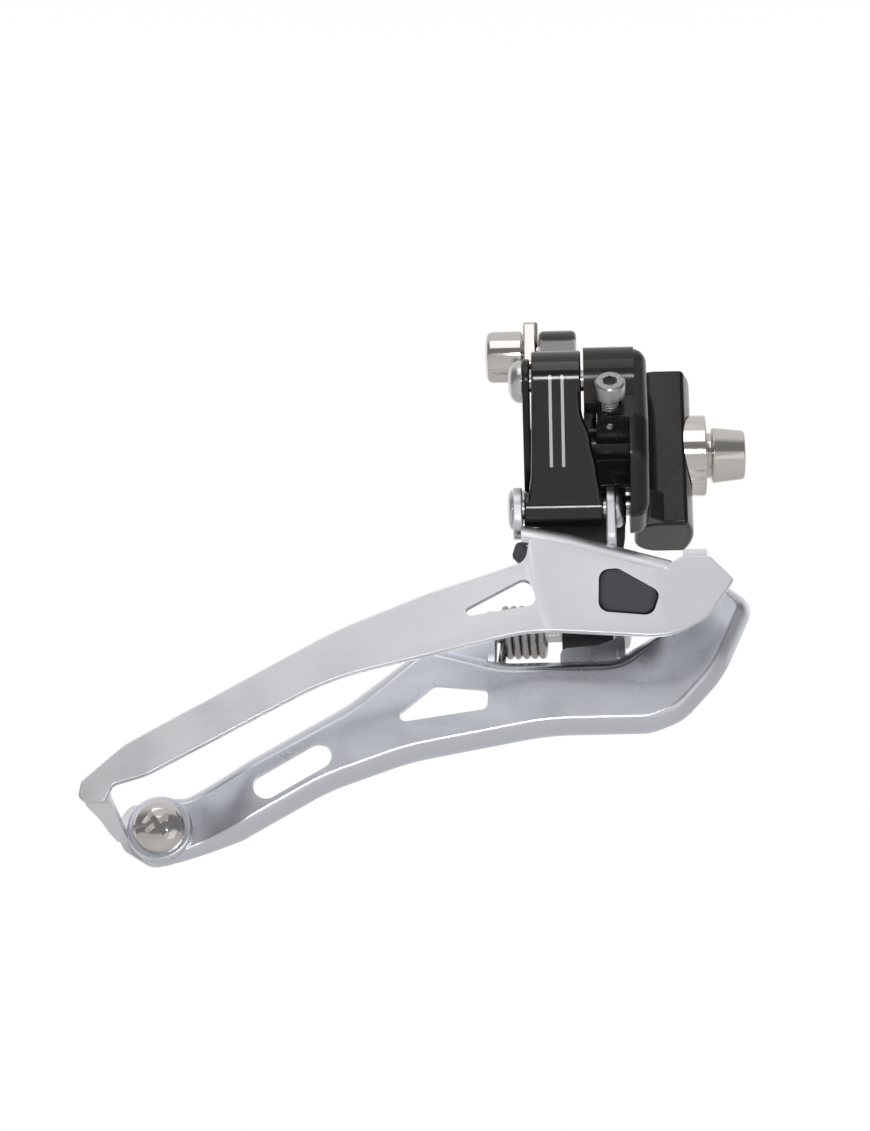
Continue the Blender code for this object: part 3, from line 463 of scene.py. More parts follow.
def grain_effect():
    """Fine drawn grain: a streak value and the normal it gives."""
    tree, source, sink = effect(
        "drawn_grain",
        [("Along", "NodeSocketVector", (60.0, 2500.0, 2500.0)), ("Depth", "NodeSocketFloat", 0.1)],
        [("Streaks", "NodeSocketFloat"), ("Normal", "NodeSocketVector")])
    place = tree.nodes.new("ShaderNodeTexCoord")
    stretch = tree.nodes.new("ShaderNodeVectorMath")
    stretch.operation = "MULTIPLY"
    streaks = tree.nodes.new("ShaderNodeTexNoise")
    streaks.inputs["Scale"].default_value = 1.0
    streaks.inputs["Detail"].default_value = 4.0
    bump = tree.nodes.new("ShaderNodeBump")
    bump.inputs["Distance"].default_value = 0.00002
    tree.links.new(place.outputs["Object"], stretch.inputs[0])
    tree.links.new(source.outputs["Along"], stretch.inputs[1])
    tree.links.new(stretch.outputs[0], streaks.inputs["Vector"])
    tree.links.new(streaks.outputs[0], bump.inputs["Height"])
    tree.links.new(source.outputs["Depth"], bump.inputs["Strength"])
    tree.links.new(streaks.outputs[0], sink.inputs["Streaks"])
    tree.links.new(bump.outputs["Normal"], sink.inputs["Normal"])
    return tree


def cloud_effect():
    """Soft uneven patches, as handling and dust leave them: a value from 0 to 1 and a normal."""
    tree, source, sink = effect(
        "handled_patches",
        [("Scale", "NodeSocketFloat", 150.0), ("Depth", "NodeSocketFloat", 0.05)],
        [("Patches", "NodeSocketFloat"), ("Normal", "NodeSocketVector")])
    place = tree.nodes.new("ShaderNodeTexCoord")
    noise = tree.nodes.new("ShaderNodeTexNoise")
    noise.inputs["Detail"].default_value = 6.0
    bump = tree.nodes.new("ShaderNodeBump")
    bump.inputs["Distance"].default_value = 0.00005
    tree.links.new(place.outputs["Object"], noise.inputs["Vector"])
    tree.links.new(source.outputs["Scale"], noise.inputs["Scale"])
    tree.links.new(noise.outputs[0], bump.inputs["Height"])
    tree.links.new(source.outputs["Depth"], bump.inputs["Strength"])
    tree.links.new(noise.outputs[0], sink.inputs["Patches"])
    tree.links.new(bump.outputs["Normal"], sink.inputs["Normal"])
    return tree


def edge_effect():
    """Mask of the raised edges, where a finish wears first."""
    tree, _, sink = effect("rubbed_edges", [], [("Mask", "NodeSocketFloat")])
    form = tree.nodes.new("ShaderNodeNewGeometry")
    span = tree.nodes.new("ShaderNodeMapRange")
    span.inputs["From Min"].default_value = 0.52
    span.inputs["From Max"].default_value = 0.60
    tree.links.new(form.outputs["Pointiness"], span.inputs["Value"])
    tree.links.new(span.outputs["Result"], sink.inputs["Mask"])
    return tree


def band_effect():
    """Two slim upright lines on the outer link's face, as a mask."""
    tree, source, sink = effect("twin_lines", [("Half Width", "NodeSocketFloat", 0.00022)],
                                [("Mask", "NodeSocketFloat")])
    place = tree.nodes.new("ShaderNodeTexCoord")
    split = tree.nodes.new("ShaderNodeSeparateXYZ")
    tree.links.new(place.outputs["Object"], split.inputs[0])

    def step(operation, first, second):
        """Result of one Math node, whose terms are sockets or numbers."""
        node = tree.nodes.new("ShaderNodeMath")
        node.operation = operation
        for socket, value in zip(node.inputs, (first, second)):
            if isinstance(value, float):
                socket.default_value = value
            else:
                tree.links.new(value, socket)
        return node.outputs[0]

    centre = (LINK_BACK_X + LINK_FRONT_TOP_X) / 2 * MM
    away = step("ABSOLUTE", step("SUBTRACT", split.outputs["X"], centre), 0.0)
    beside = step("ABSOLUTE", step("SUBTRACT", away, LINE_OFFSET), 0.0)
    line = step("LESS_THAN", beside, source.outputs["Half Width"])
    top = step("LESS_THAN", split.outputs["Z"], UPPER_OUTER[1] * MM - LINE_TOP_GAP)
    foot = step("GREATER_THAN", split.outputs["Z"], LOWER_OUTER[1] * MM + LINE_FOOT_GAP)
    height = step("MULTIPLY", top, foot)
    face = tree.nodes.new("ShaderNodeNewGeometry")
    facing = tree.nodes.new("ShaderNodeSeparateXYZ")
    tree.links.new(face.outputs["Normal"], facing.inputs[0])
    outward = step("LESS_THAN", facing.outputs["Y"], -0.5)
    tree.links.new(step("MULTIPLY", step("MULTIPLY", line, height), outward), sink.inputs["Mask"])
    return tree


# ---------------------------------------------------------------- finishes

def new_material(name):
    """New material with its node tree and shader."""
    made = bpy.data.materials.new(name)
    made.use_nodes = True
    return made, made.node_tree, made.node_tree.nodes["Principled BSDF"]


def use(tree, group, **values):
    """A shared effect placed in a material, with its own values."""
    node = tree.nodes.new("ShaderNodeGroup")
    node.node_tree = group
    for label, value in values.items():
        node.inputs[label.replace("_", " ")].default_value = value
    return node


def blended(tree, factor, first, second):
    """Colour that goes from first to second by a factor."""
    mix = tree.nodes.new("ShaderNodeMix")
    mix.data_type = "RGBA"
    tree.links.new(factor, mix.inputs["Factor"])
    for socket, value in ((mix.inputs[6], first), (mix.inputs[7], second)):
        if isinstance(value, bpy.types.NodeSocket):
            tree.links.new(value, socket)
        else:
            socket.default_value = (*value[:3], 1.0)
    return mix.outputs[2]


def spread(tree, value, low, high):
    """A 0.3 to 0.7 noise value stretched to run from low to high."""
    node = tree.nodes.new("ShaderNodeMapRange")
    node.inputs["From Min"].default_value = 0.3
    node.inputs["From Max"].default_value = 0.7
    node.inputs["To Min"].default_value = low
    node.inputs["To Max"].default_value = high
    tree.links.new(value, node.inputs["Value"])
    return node.outputs["Result"]


def dark(colour, share):
    """Colour scaled by a share."""
    return tuple(c * share for c in colour)


def metal_finish(name, colour, rough, along, depth, vary=0.12, patches=120.0):
    """Bare or plated metal with drawn grain and a few duller patches."""
    made, tree, shader = new_material(name)
    grain = use(tree, EFFECTS["grain"], Along=along, Depth=depth)
    cloud = use(tree, EFFECTS["cloud"], Scale=patches)
    worn = use(tree, EFFECTS["edge"])
    tone = blended(tree, grain.outputs["Streaks"], dark(colour, 1 - vary), colour)
    tone = blended(tree, worn.outputs["Mask"], tone, tuple(min(c * 1.12, 0.95) for c in colour))
    tree.links.new(tone, shader.inputs["Base Color"])
    tree.links.new(spread(tree, cloud.outputs["Patches"], rough * 0.8, rough * 1.25),
                   shader.inputs["Roughness"])
    tree.links.new(grain.outputs["Normal"], shader.inputs["Normal"])
    shader.inputs["Metallic"].default_value = 1.0
    return made


def paint_finish(name, colour, rough, coat, shine, depth, lines=None):
    """Black paint under a clear coat, with the faintly rippled skin of paint."""
    made, tree, shader = new_material(name)
    cloud = use(tree, EFFECTS["cloud"], Scale=700.0, Depth=depth)
    worn = use(tree, EFFECTS["edge"])
    tone = blended(tree, worn.outputs["Mask"], colour, tuple(c * 2.2 for c in colour))
    if lines:
        band = use(tree, EFFECTS["band"])
        tone = blended(tree, band.outputs["Mask"], tone, lines)
    tree.links.new(tone, shader.inputs["Base Color"])
    tree.links.new(spread(tree, cloud.outputs["Patches"], rough * 0.8, rough * 1.3),
                   shader.inputs["Roughness"])
    tree.links.new(cloud.outputs["Normal"], shader.inputs["Normal"])
    shader.inputs["Specular IOR Level"].default_value = shine
    shader.inputs["Coat Weight"].default_value = coat
    shader.inputs["Coat Roughness"].default_value = 0.08
    return made


def plastic_finish(name, colour):
    """Dull moulded plastic with a fine skin."""
    made, tree, shader = new_material(name)
    cloud = use(tree, EFFECTS["cloud"], Scale=900.0, Depth=0.25)
    tone = blended(tree, cloud.outputs["Patches"], dark(colour, 0.7), tuple(c * 1.3 for c in colour))
    tree.links.new(tone, shader.inputs["Base Color"])
    tree.links.new(spread(tree, cloud.outputs["Patches"], 0.45, 0.62), shader.inputs["Roughness"])
    tree.links.new(cloud.outputs["Normal"], shader.inputs["Normal"])
    return made


def even(scale):
    """Grain with the same scale along every axis."""
    return (scale, scale, scale)


EFFECTS = {}
FINISH = {}


def prepare_finishes():
    """Make every shared effect once, then every finish."""
    colours = bpy.context.scene.derailleur_finish
    EFFECTS.update(grain=grain_effect(), cloud=cloud_effect(), edge=edge_effect(), band=band_effect(),
                   ridges=ridge_tree())
    outer = tuple(colours.outer_plate)
    inner = tuple(colours.inner_plate)
    chrome = tuple(colours.chrome)
    steel = tuple(colours.steel)
    FINISH.update(
        black_paint=paint_finish("black_paint", tuple(colours.casting), 0.24, 0.2, 0.3, 0.02),
        black_gloss=paint_finish("black_gloss", tuple(colours.link), 0.16, 0.6, 0.4, 0.01,
                                 tuple(colours.lines)),
        black_satin=paint_finish("black_satin", tuple(colours.casting), 0.38, 0.1, 0.3, 0.03),
        bright_chrome=metal_finish("bright_chrome", chrome, 0.10, even(900.0), 0.02, 0.08),
        zinc_steel=metal_finish("zinc_steel", dark(steel, 0.75), 0.30, even(1500.0), 0.15, 0.25),
        rivet_steel=metal_finish("rivet_steel", steel, 0.26, even(1200.0), 0.10, 0.15),
        bush_bronze=metal_finish("bush_bronze", (0.42, 0.30, 0.16), 0.40, even(900.0), 0.10, 0.2),
        outer_plate_silver=metal_finish("outer_plate_silver", outer, 0.36, (80.0, 2600.0, 2600.0),
                                        0.10, 0.06),
        inner_plate_silver=metal_finish("inner_plate_silver", inner, 0.28, (80.0, 2200.0, 2200.0),
                                        0.10, 0.10),
        grey_plastic=plastic_finish("grey_plastic", tuple(colours.plastic)),
        spring_steel=metal_finish("spring_steel", dark(steel, 0.6), 0.28, even(700.0), 0.10, 0.2),
    )


# ---------------------------------------------------------------- repeated ridges

def ridge_tree():
    """Rings in a row along Z, as the crests of a thread."""
    tree = bpy.data.node_groups.new("thread_ridges", "GeometryNodeTree")
    tree.is_modifier = True
    face = tree.interface
    face.new_socket("Geometry", in_out="INPUT", socket_type="NodeSocketGeometry")
    for label, kind in (("Count", "NodeSocketInt"), ("Pitch", "NodeSocketFloat"),
                        ("Radius", "NodeSocketFloat"), ("Ridge", "NodeSocketFloat"),
                        ("Finish", "NodeSocketMaterial")):
        face.new_socket(label, in_out="INPUT", socket_type=kind)
    face.new_socket("Geometry", in_out="OUTPUT", socket_type="NodeSocketGeometry")
    nodes, links = tree.nodes, tree.links
    source = nodes.new("NodeGroupInput")
    sink = nodes.new("NodeGroupOutput")
    step = nodes.new("ShaderNodeCombineXYZ")
    row = nodes.new("GeometryNodeMeshLine")
    ring = nodes.new("GeometryNodeCurvePrimitiveCircle")
    crest = nodes.new("GeometryNodeCurvePrimitiveCircle")
    tube = nodes.new("GeometryNodeCurveToMesh")
    copies = nodes.new("GeometryNodeInstanceOnPoints")
    real = nodes.new("GeometryNodeRealizeInstances")
    coat = nodes.new("GeometryNodeSetMaterial")
    ring.inputs["Resolution"].default_value = 48
    crest.inputs["Resolution"].default_value = 8
    links.new(source.outputs["Pitch"], step.inputs["Z"])
    links.new(source.outputs["Count"], row.inputs["Count"])
    links.new(step.outputs[0], row.inputs["Offset"])
    links.new(source.outputs["Radius"], ring.inputs["Radius"])
    links.new(source.outputs["Ridge"], crest.inputs["Radius"])
    links.new(ring.outputs[0], tube.inputs["Curve"])
    links.new(crest.outputs[0], tube.inputs["Profile Curve"])
    links.new(row.outputs[0], copies.inputs["Points"])
    links.new(tube.outputs[0], copies.inputs["Instance"])
    links.new(copies.outputs[0], real.inputs[0])
    links.new(real.outputs[0], coat.inputs["Geometry"])
    links.new(source.outputs["Finish"], coat.inputs["Material"])
    links.new(coat.outputs[0], sink.inputs[0])
    return tree


def ridges(name, radius, length, start, direction, finish):
    """Thread crests on a shank that leaves a point (mm) in a direction."""
    pitch = bpy.context.scene.derailleur_detail.thread_pitch
    crest = THREAD_CREST * MM
    obj = bpy.data.objects.new(name, bpy.data.meshes.new(name))
    bpy.context.scene.collection.objects.link(obj)
    step = obj.modifiers.new("ridges", "NODES")
    step.node_group = EFFECTS["ridges"]
    values = {"Count": int(length * MM / pitch), "Pitch": pitch, "Radius": radius * MM - crest * 1.2,
              "Ridge": crest, "Finish": finish}
    for item in step.node_group.interface.items_tree:
        if item.in_out == "INPUT" and item.name in values:
            step[item.identifier] = values[item.name]
    graph = bpy.context.evaluated_depsgraph_get()
    mesh = bpy.data.meshes.new_from_object(obj.evaluated_get(graph))
    obj.modifiers.clear()
    turn = Vector((0, 0, 1)).rotation_difference(Vector(direction)).to_matrix().to_4x4()
    mesh.transform(Matrix.Translation(Vector(start) * MM) @ turn)
    obj.data = mesh
    for face in mesh.polygons:
        face.use_smooth = True
    return obj


# ---------------------------------------------------------------- casting pieces

LIMITS = {
    "outer_limit_screw": {"top": (-12.6, -26.0, 1.1), "into": (0.0, 0.90, -0.436), "long": 6.2},
    "inner_limit_screw": {"top": (-11.9, -10.2, 13.3), "into": (0.0, 0.10, -0.995), "long": 8.0},
}


def saddle_block():
    """Block whose front is part of an upright cylinder."""
    half = math.asin(BLOCK_HALF_Y / SADDLE_R)
    front = []
    for s in range(-4, 5):
        turn = half * s / 4
        front.append((SADDLE_R * (math.cos(turn) - 1), SADDLE_R * math.sin(turn), 0))
    corner = 3.8
    side = BLOCK_HALF_Y + 0.3
    front[0] = (front[0][0], -side, 0.7)
    front[-1] = (front[-1][0], side, 0.7)
    back = [(BLOCK_BACK_X, side, corner), (BLOCK_BACK_X, -side, corner)]
    return prism(rounded(front + back, 12), "Z", BLOCK_BOTTOM_Z, BLOCK_TOP_Z, 1.5)


def knuckle():
    """Rounded head of the casting, seen along X."""
    side = [
        (-19.0, 10.2, 2.8), (-22.7, RECESS_TOP_Z, 2.6), (-21.5, -9.0, 4.0), (-16.0, -15.9, 3.0),
        (-8.0, -15.9, 3.0), (-3.4, -12.8, 2.5), (-3.4, 6.0, 2.5), (-7.5, 10.2, 2.5),
    ]
    return prism(rounded(side, 10), "X", KNUCKLE_BACK_X, KNUCKLE_FRONT_X, 2.3)


def web():
    """Flare between the knuckle's foot and the block."""
    plan = [(-9.4, -13.0, 0.4), (-8.2, -13.0, 0.8), (-7.2, -8.6, 3.5), (-3.4, -5.2, 0.8), (-9.4, -5.0, 0.4)]
    return prism(rounded(plan, 12), "Z", -13.3, -8.5, 0.3)


def recess_back():
    """Wall at the back of the recess, between the two links."""
    return prism(rounded([(-10.6, -9.2, 0.5), (-10.6, 3.4, 0.5), (-7.7, 3.4, 0.5), (-7.7, -9.2, 0.5)], 2),
                 "X", KNUCKLE_BOSS_BACK_X, -8.5)


def casting_object():
    """Casting, whose recess is cut first so that the wall and the bosses in it stay whole."""
    recess = prism([(-30.0, RECESS_TOP_Z), (-30.0, -20.0), (0.0, -20.0), (0.0, RECESS_TOP_Z)],
                   "X", KNUCKLE_BACK_X - 1, WALL_BACK_X)
    hollowed = shape("hollowed_knuckle", knuckle(), (), (recess,), 0.0)
    start = bmesh.new()
    start.from_mesh(hollowed.data)
    bmesh.ops.scale(start, verts=start.verts, vec=(1 / MM, 1 / MM, 1 / MM))
    bpy.data.objects.remove(hollowed, do_unlink=True)
    joined = [
        saddle_block(), web(), recess_back(),
        round_bar("X", SPINE, SPINE_R, REAR_EAR_BACK_X + 0.3, -8.2),
        round_bar("X", UPPER_OUTER, KNUCKLE_BOSS_R, KNUCKLE_BOSS_BACK_X, -9.0),
        prism(capsule(UPPER_OUTER, UPPER_INNER, REAR_EAR_R, REAR_EAR_R, 32), "X",
              REAR_EAR_BACK_X, REAR_EAR_FRONT_X, 0.25),
    ]
    bores = [
        round_bar("X", (0, 0), BOLT_R + BOLT_FIT, -12.0, 3.0),
        round_bar("X", UPPER_OUTER, PIN_HOLE_R, -30.0, -14.0),
        round_bar("X", UPPER_INNER, PIN_HOLE_R, -30.0, -5.6),
    ]
    for spec in LIMITS.values():
        bore = round_bar("X", (0, 0), LIMIT_R + LIMIT_FIT, 0.0, LIMIT_HEAD_LONG + spec["long"] + 0.4)
        bores.append(aim(bore, spec["into"], spec["top"]))
    return shape("casting_painted", start, joined, bores)


def mounting_bolt_object():
    """Socket-head bolt whose head narrows towards its tip."""
    profile = [
        (0, -8.0), (2.0, -8.0), (BOLT_R, -7.5), (BOLT_R, WASHER_FRONT_X + 0.1),
        (BOLT_COLLAR_R, WASHER_FRONT_X + 0.1), (BOLT_COLLAR_R, BOLT_HEAD_BACK_X),
        (BOLT_HEAD_R - 0.3, BOLT_HEAD_BACK_X), (BOLT_HEAD_R, BOLT_HEAD_BACK_X + 0.3),
        (BOLT_TIP_HEAD_R, BOLT_HEAD_FRONT_X - 0.5), (BOLT_TIP_HEAD_R - 0.15, BOLT_HEAD_FRONT_X - 0.15),
        (BOLT_TIP_HEAD_R - 0.5, BOLT_HEAD_FRONT_X), (0, BOLT_HEAD_FRONT_X),
    ]
    return shape("mounting_bolt_bright", turned(profile), (),
                 (hex_prism(BOLT_SOCKET, BOLT_HEAD_FRONT_X - 3.5, BOLT_HEAD_FRONT_X + 1),), 0.00008)


def saddle_washer_object():
    """Washer whose back is hollowed to the saddle's curve."""
    plain = round_bar("X", (0, 0), WASHER_R, -1.6, WASHER_FRONT_X, 0.25)
    hollow = prism(circle((-SADDLE_R, 0), SADDLE_R + WASHER_GAP, 144), "Z", -10.0, 10.0)
    return shape("saddle_washer_bright", plain, (),
                 (hollow, round_bar("X", (0, 0), BOLT_R + BOLT_FIT, -5.0, 5.0)), 0.00008)


def limit_screw_object(name):
    """Socket-head screw, aimed along its bore."""
    spec = LIMITS[name]
    end = LIMIT_HEAD_LONG + spec["long"]
    core = LIMIT_R - 0.2
    profile = [
        (0, 0), (LIMIT_HEAD_R - 0.3, 0), (LIMIT_HEAD_R, 0.3), (LIMIT_HEAD_R, LIMIT_HEAD_LONG),
        (core, LIMIT_HEAD_LONG), (core, end - 0.4), (core - 0.4, end), (0, end),
    ]
    return shape(name + "_turned", aim(turned(profile), spec["into"], spec["top"]), (),
                 (aim(hex_prism(LIMIT_SOCKET, -1.0, 1.6), spec["into"], spec["top"]),), 0.00006)


def pin_object(name, head_r, back_low, front_low):
    """Pin between its own ends, with a domed head wherever it stands proud of its seat."""
    low, high = low_high(name)
    axis = ((low.y + high.y) / 2, (low.z + high.z) / 2)
    back, front = low.x + back_low, high.x - front_low
    profile = [(0, back - back_low)]
    for s in range(1, 8):
        turn = math.pi / 2 * s / 7
        profile.append((head_r * math.sin(turn) ** 0.6, back - back_low * math.cos(turn)))
    profile += [(head_r, back), (PIN_R, back)]
    if front_low:
        profile += [(PIN_R, front), (head_r, front)]
        for s in range(6, 0, -1):
            turn = math.pi / 2 * s / 7
            profile.append((head_r * math.sin(turn) ** 0.6, front + front_low * math.cos(turn)))
        profile.append((0, front + front_low))
    else:
        profile += [(PIN_R, front - 0.3), (PIN_R - 0.3, front), (0, front)]
    return shape(name + "_bright", moved(turned(profile), at_axis(axis)), (), (), 0.0)


# ---------------------------------------------------------------- link pieces

def link_section(axis, s, back, front, inner, outer, corner=0.8):
    """Rounded rectangle across a link at distance s below its upper axis."""
    lean = math.radians(LINK_LEAN_DEG)
    down = Vector((0, math.sin(lean), -math.cos(lean)))
    out = Vector((0, -math.cos(lean), -math.sin(lean)))
    base = Vector(at_axis(axis)) + down * s
    ring = rounded([(back, -inner, corner), (front, -inner, corner), (front, outer, corner),
                    (back, outer, corner)], 8)
    return [tuple(base + Vector((x, 0, 0)) + out * n) for x, n in ring]


def eased_spans(spans, steps=5):
    """Spans with smooth ones between them."""
    out = []
    for a, b in zip(spans, spans[1:]):
        for s in range(steps):
            t = s / steps
            out.append((a[0] + (b[0] - a[0]) * t,
                        *(p + (q - p) * t * t * (3 - 2 * t) for p, q in zip(a[1:], b[1:]))))
    return out + [spans[-1]]


def outer_link_object():
    """Link with its two barrels and the cable arm."""
    spans = [
        (0.0, LINK_BACK_X, LINK_FRONT_TOP_X, 1.2, 4.4),
        (4.4, LINK_BACK_X - 0.1, LINK_FRONT_TOP_X, 1.3, 4.2),
        (9.0, LINK_BACK_X - 0.2, -15.4, 1.4, 3.8),
        (13.5, LINK_BACK_X - 0.3, -14.5, 1.4, 3.3),
        (17.0, LINK_BACK_X - 0.7, -14.0, 1.6, 2.9),
        (LINK_LENGTH, EAR_BACK_X + EAR_THICK + TURN_GAP, LINK_FRONT_LOW_X, 1.8, 2.5),
    ]
    arm = prism(capsule(UPPER_OUTER, ANCHOR, ARM_R, ARM_R, 32), "X", ARM_BACK_X, ARM_FRONT_X, 0.6)
    return shape(
        "outer_link_glossy", loft([link_section(UPPER_OUTER, *span) for span in eased_spans(spans)]),
        (round_bar("X", UPPER_OUTER, LINK_BARREL_R, LINK_BACK_X, LINK_FRONT_TOP_X, 0.3),
         round_bar("X", LOWER_OUTER, LINK_LOW_BARREL_R, EAR_BACK_X + EAR_THICK + TURN_GAP,
                   LINK_FRONT_LOW_X, 0.3),
         arm, round_bar("X", ANCHOR, ARM_LUG_R, ARM_BACK_X, ARM_FRONT_X, 0.8)),
        (round_bar("X", UPPER_OUTER, BUSH_SEAT_R, *LINK_CUT),
         round_bar("X", LOWER_OUTER, BUSH_SEAT_R, *LINK_CUT),
         round_bar("X", ANCHOR, ANCHOR_R + PIN_FIT, *LINK_CUT)), None, 50)


def inner_link_object():
    """Flat link with a barrel at each end."""
    spans = [
        (0.0, INNER_BACK_X, INNER_FRONT_X, 1.5, 1.5),
        (5.0, INNER_BACK_X, INNER_FRONT_X - 0.2, 1.4, 1.6),
        (11.0, -22.8, -11.4, 1.3, 1.5),
        (16.0, INNER_LOW_BACK_X, INNER_LOW_FRONT_X, 1.3, 1.4),
        (LINK_LENGTH, INNER_LOW_BACK_X, INNER_LOW_FRONT_X, 1.4, 1.4),
    ]
    return shape(
        "inner_link_satin", loft([link_section(UPPER_INNER, *span) for span in spans]),
        (round_bar("X", UPPER_INNER, INNER_BARREL_R, INNER_BACK_X, INNER_FRONT_X, 0.3),
         round_bar("X", LOWER_INNER, INNER_BARREL_R, INNER_LOW_BACK_X, INNER_LOW_FRONT_X, 0.3)),
        (round_bar("X", UPPER_INNER, BUSH_SEAT_R, -30.0, -8.0),
         round_bar("X", LOWER_INNER, BUSH_SEAT_R, -30.0, -8.0)))


def anchor_bolt_object():
    """Socket-head bolt that clamps the cable."""
    head = ARM_BACK_X - 2.4
    profile = [
        (0, head - 5.7), (ANCHOR_HEAD_R - 0.9, head - 5.7), (ANCHOR_HEAD_R - 0.25, head - 5.35),
        (ANCHOR_HEAD_R, head - 4.7), (ANCHOR_HEAD_R, head - 0.3), (ANCHOR_HEAD_R - 0.3, head),
        (ANCHOR_R, head), (ANCHOR_R, ARM_FRONT_X - 0.7), (ANCHOR_R - 0.4, ARM_FRONT_X - 0.3),
        (0, ARM_FRONT_X - 0.3),
    ]
    return shape("cable_anchor_bolt_bright", moved(turned(profile), at_axis(ANCHOR)), (),
                 (moved(hex_prism(ANCHOR_SOCKET, head - 7.0, head - 2.6), at_axis(ANCHOR)),), 0.00008)


def clamp_washer_object():
    """Washer with a groove for the cable on the side that meets the arm."""
    y, z = ANCHOR
    reach = 4.5
    plan = rounded([(y - 3.9, z - 3.6, 1.2), (y - 3.6, z + reach, 1.0), (y + 3.6, z + reach, 1.0),
                    (y + 3.9, z - 3.6, 1.2)], 12)
    return shape("cable_clamp_washer_bright",
                 prism(plan, "X", ARM_BACK_X - 2.3, ARM_BACK_X - REST_GAP, 0.3), (),
                 (round_bar("X", ANCHOR, ANCHOR_R + BOLT_FIT, *LINK_CUT),
                  round_bar("Z", (ARM_BACK_X, y - ANCHOR_R - 0.9), 0.7, z - 9, z + 9)), 0.00006)


# ---------------------------------------------------------------- cage pieces

def flange_solid():
    """Rolled top edge of the outer plate."""
    path = []
    steps = 12
    for s in range(steps + 1):
        turn = math.pi / 2 * s / steps
        path.append((FLANGE_BEND_R * (1 - math.cos(turn)), FLANGE_BEND_R * (math.sin(turn) - 1)))
    inner = []
    for s in range(steps, -1, -1):
        turn = math.pi / 2 * s / steps
        radius = FLANGE_BEND_R - SHEET
        inner.append((FLANGE_BEND_R - radius * math.cos(turn), radius * math.sin(turn) - FLANGE_BEND_R))
    reach = FLANGE_INBOARD_Y - OUTER_FACE_Y
    ring = [(BLEND, -FLANGE_BEND_R - 0.9)] + path + [(reach, 0.0), (reach, -SHEET)] + inner
    ring += [(SHEET - BLEND, -FLANGE_BEND_R - 0.9)]
    sections = []
    for x, z in FLANGE_LINE:
        sections.append([(x, OUTER_FACE_Y + u, z + v) for u, v in ring])
    return loft(sections)


def strip(path, thick):
    """Sheet strip that follows (Y, Z) points, with its two X limits at each point."""
    sections = []
    total = len(path) - 1
    for i, (y, z, back, front) in enumerate(path):
        before, after = path[max(i - 1, 0)], path[min(i + 1, total)]
        along = Vector((after[0] - before[0], after[1] - before[1])).normalized()
        side = Vector((-along.y, along.x)) * thick / 2
        sections.append([
            (back, y + side.x, z + side.y), (front, y + side.x, z + side.y),
            (front, y - side.x, z - side.y), (back, y - side.x, z - side.y)])
    return loft(sections)


def ear_solid(axis, foot_a, foot_b, back):
    """Upright ear, flat across X, that tapers from its pivot to its foot."""
    outline = capsule(axis, foot_a, EAR_R, foot_b, 32)
    return prism(outline, "X", back, back + EAR_THICK, 0.25)


def ease(t):
    """Smooth step from 0 to 1."""
    t = min(max(t, 0.0), 1.0)
    return t * t * (3 - 2 * t)


def lip_at(x, z):
    """Depth of the inner plate's pressed rim at a point of its outline."""
    share = 1.0
    for centre, near, far, least in SHALLOW_RIMS:
        away = math.hypot(x - centre[0], z - centre[1])
        share = min(share, least + (1 - least) * ease((away - near) / (far - near)))
    return LIP_DEEP * share


def tray(loop, face_y):
    """Pressed sheet: a flat face whose rim is swept inward."""
    total = len(loop)
    levels = 8
    outer_rings = [[] for _ in range(levels + 1)]
    inner_rings = [[] for _ in range(levels + 1)]
    for i, (x, z) in enumerate(loop):
        lip = lip_at(x, z)
        before, after = loop[i - 1], loop[(i + 1) % total]
        along = Vector((after[0] - before[0], after[1] - before[1])).normalized()
        inward = Vector((along.y, -along.x))
        width = max(LIP_WIDTH * lip / LIP_DEEP, LIP_LEAST_WIDTH)
        for k in range(levels + 1):
            t = k / levels
            fall = (1 - t) ** 2
            step = width * t
            outer_rings[k].append((x + inward.x * step, face_y + lip * fall, z + inward.y * step))
            back = step + (1 - t) * min(SHEET * 0.8, lip * 0.45)
            inner_rings[k].append((x + inward.x * back, face_y + lip * fall + SHEET * (0.55 + 0.45 * t),
                                   z + inward.y * back))
    bm = bmesh.new()
    rows = [[bm.verts.new(point) for point in ring] for ring in reversed(inner_rings)]
    rows += [[bm.verts.new(point) for point in ring] for ring in outer_rings]
    for near, far in zip(rows, rows[1:]):
        for i in range(total):
            j = (i + 1) % total
            bm.faces.new((near[i], near[j], far[j], far[i]))
    bm.faces.new(rows[0])
    bm.faces.new(rows[-1])
    bmesh.ops.recalc_face_normals(bm, faces=bm.faces)
    return bm


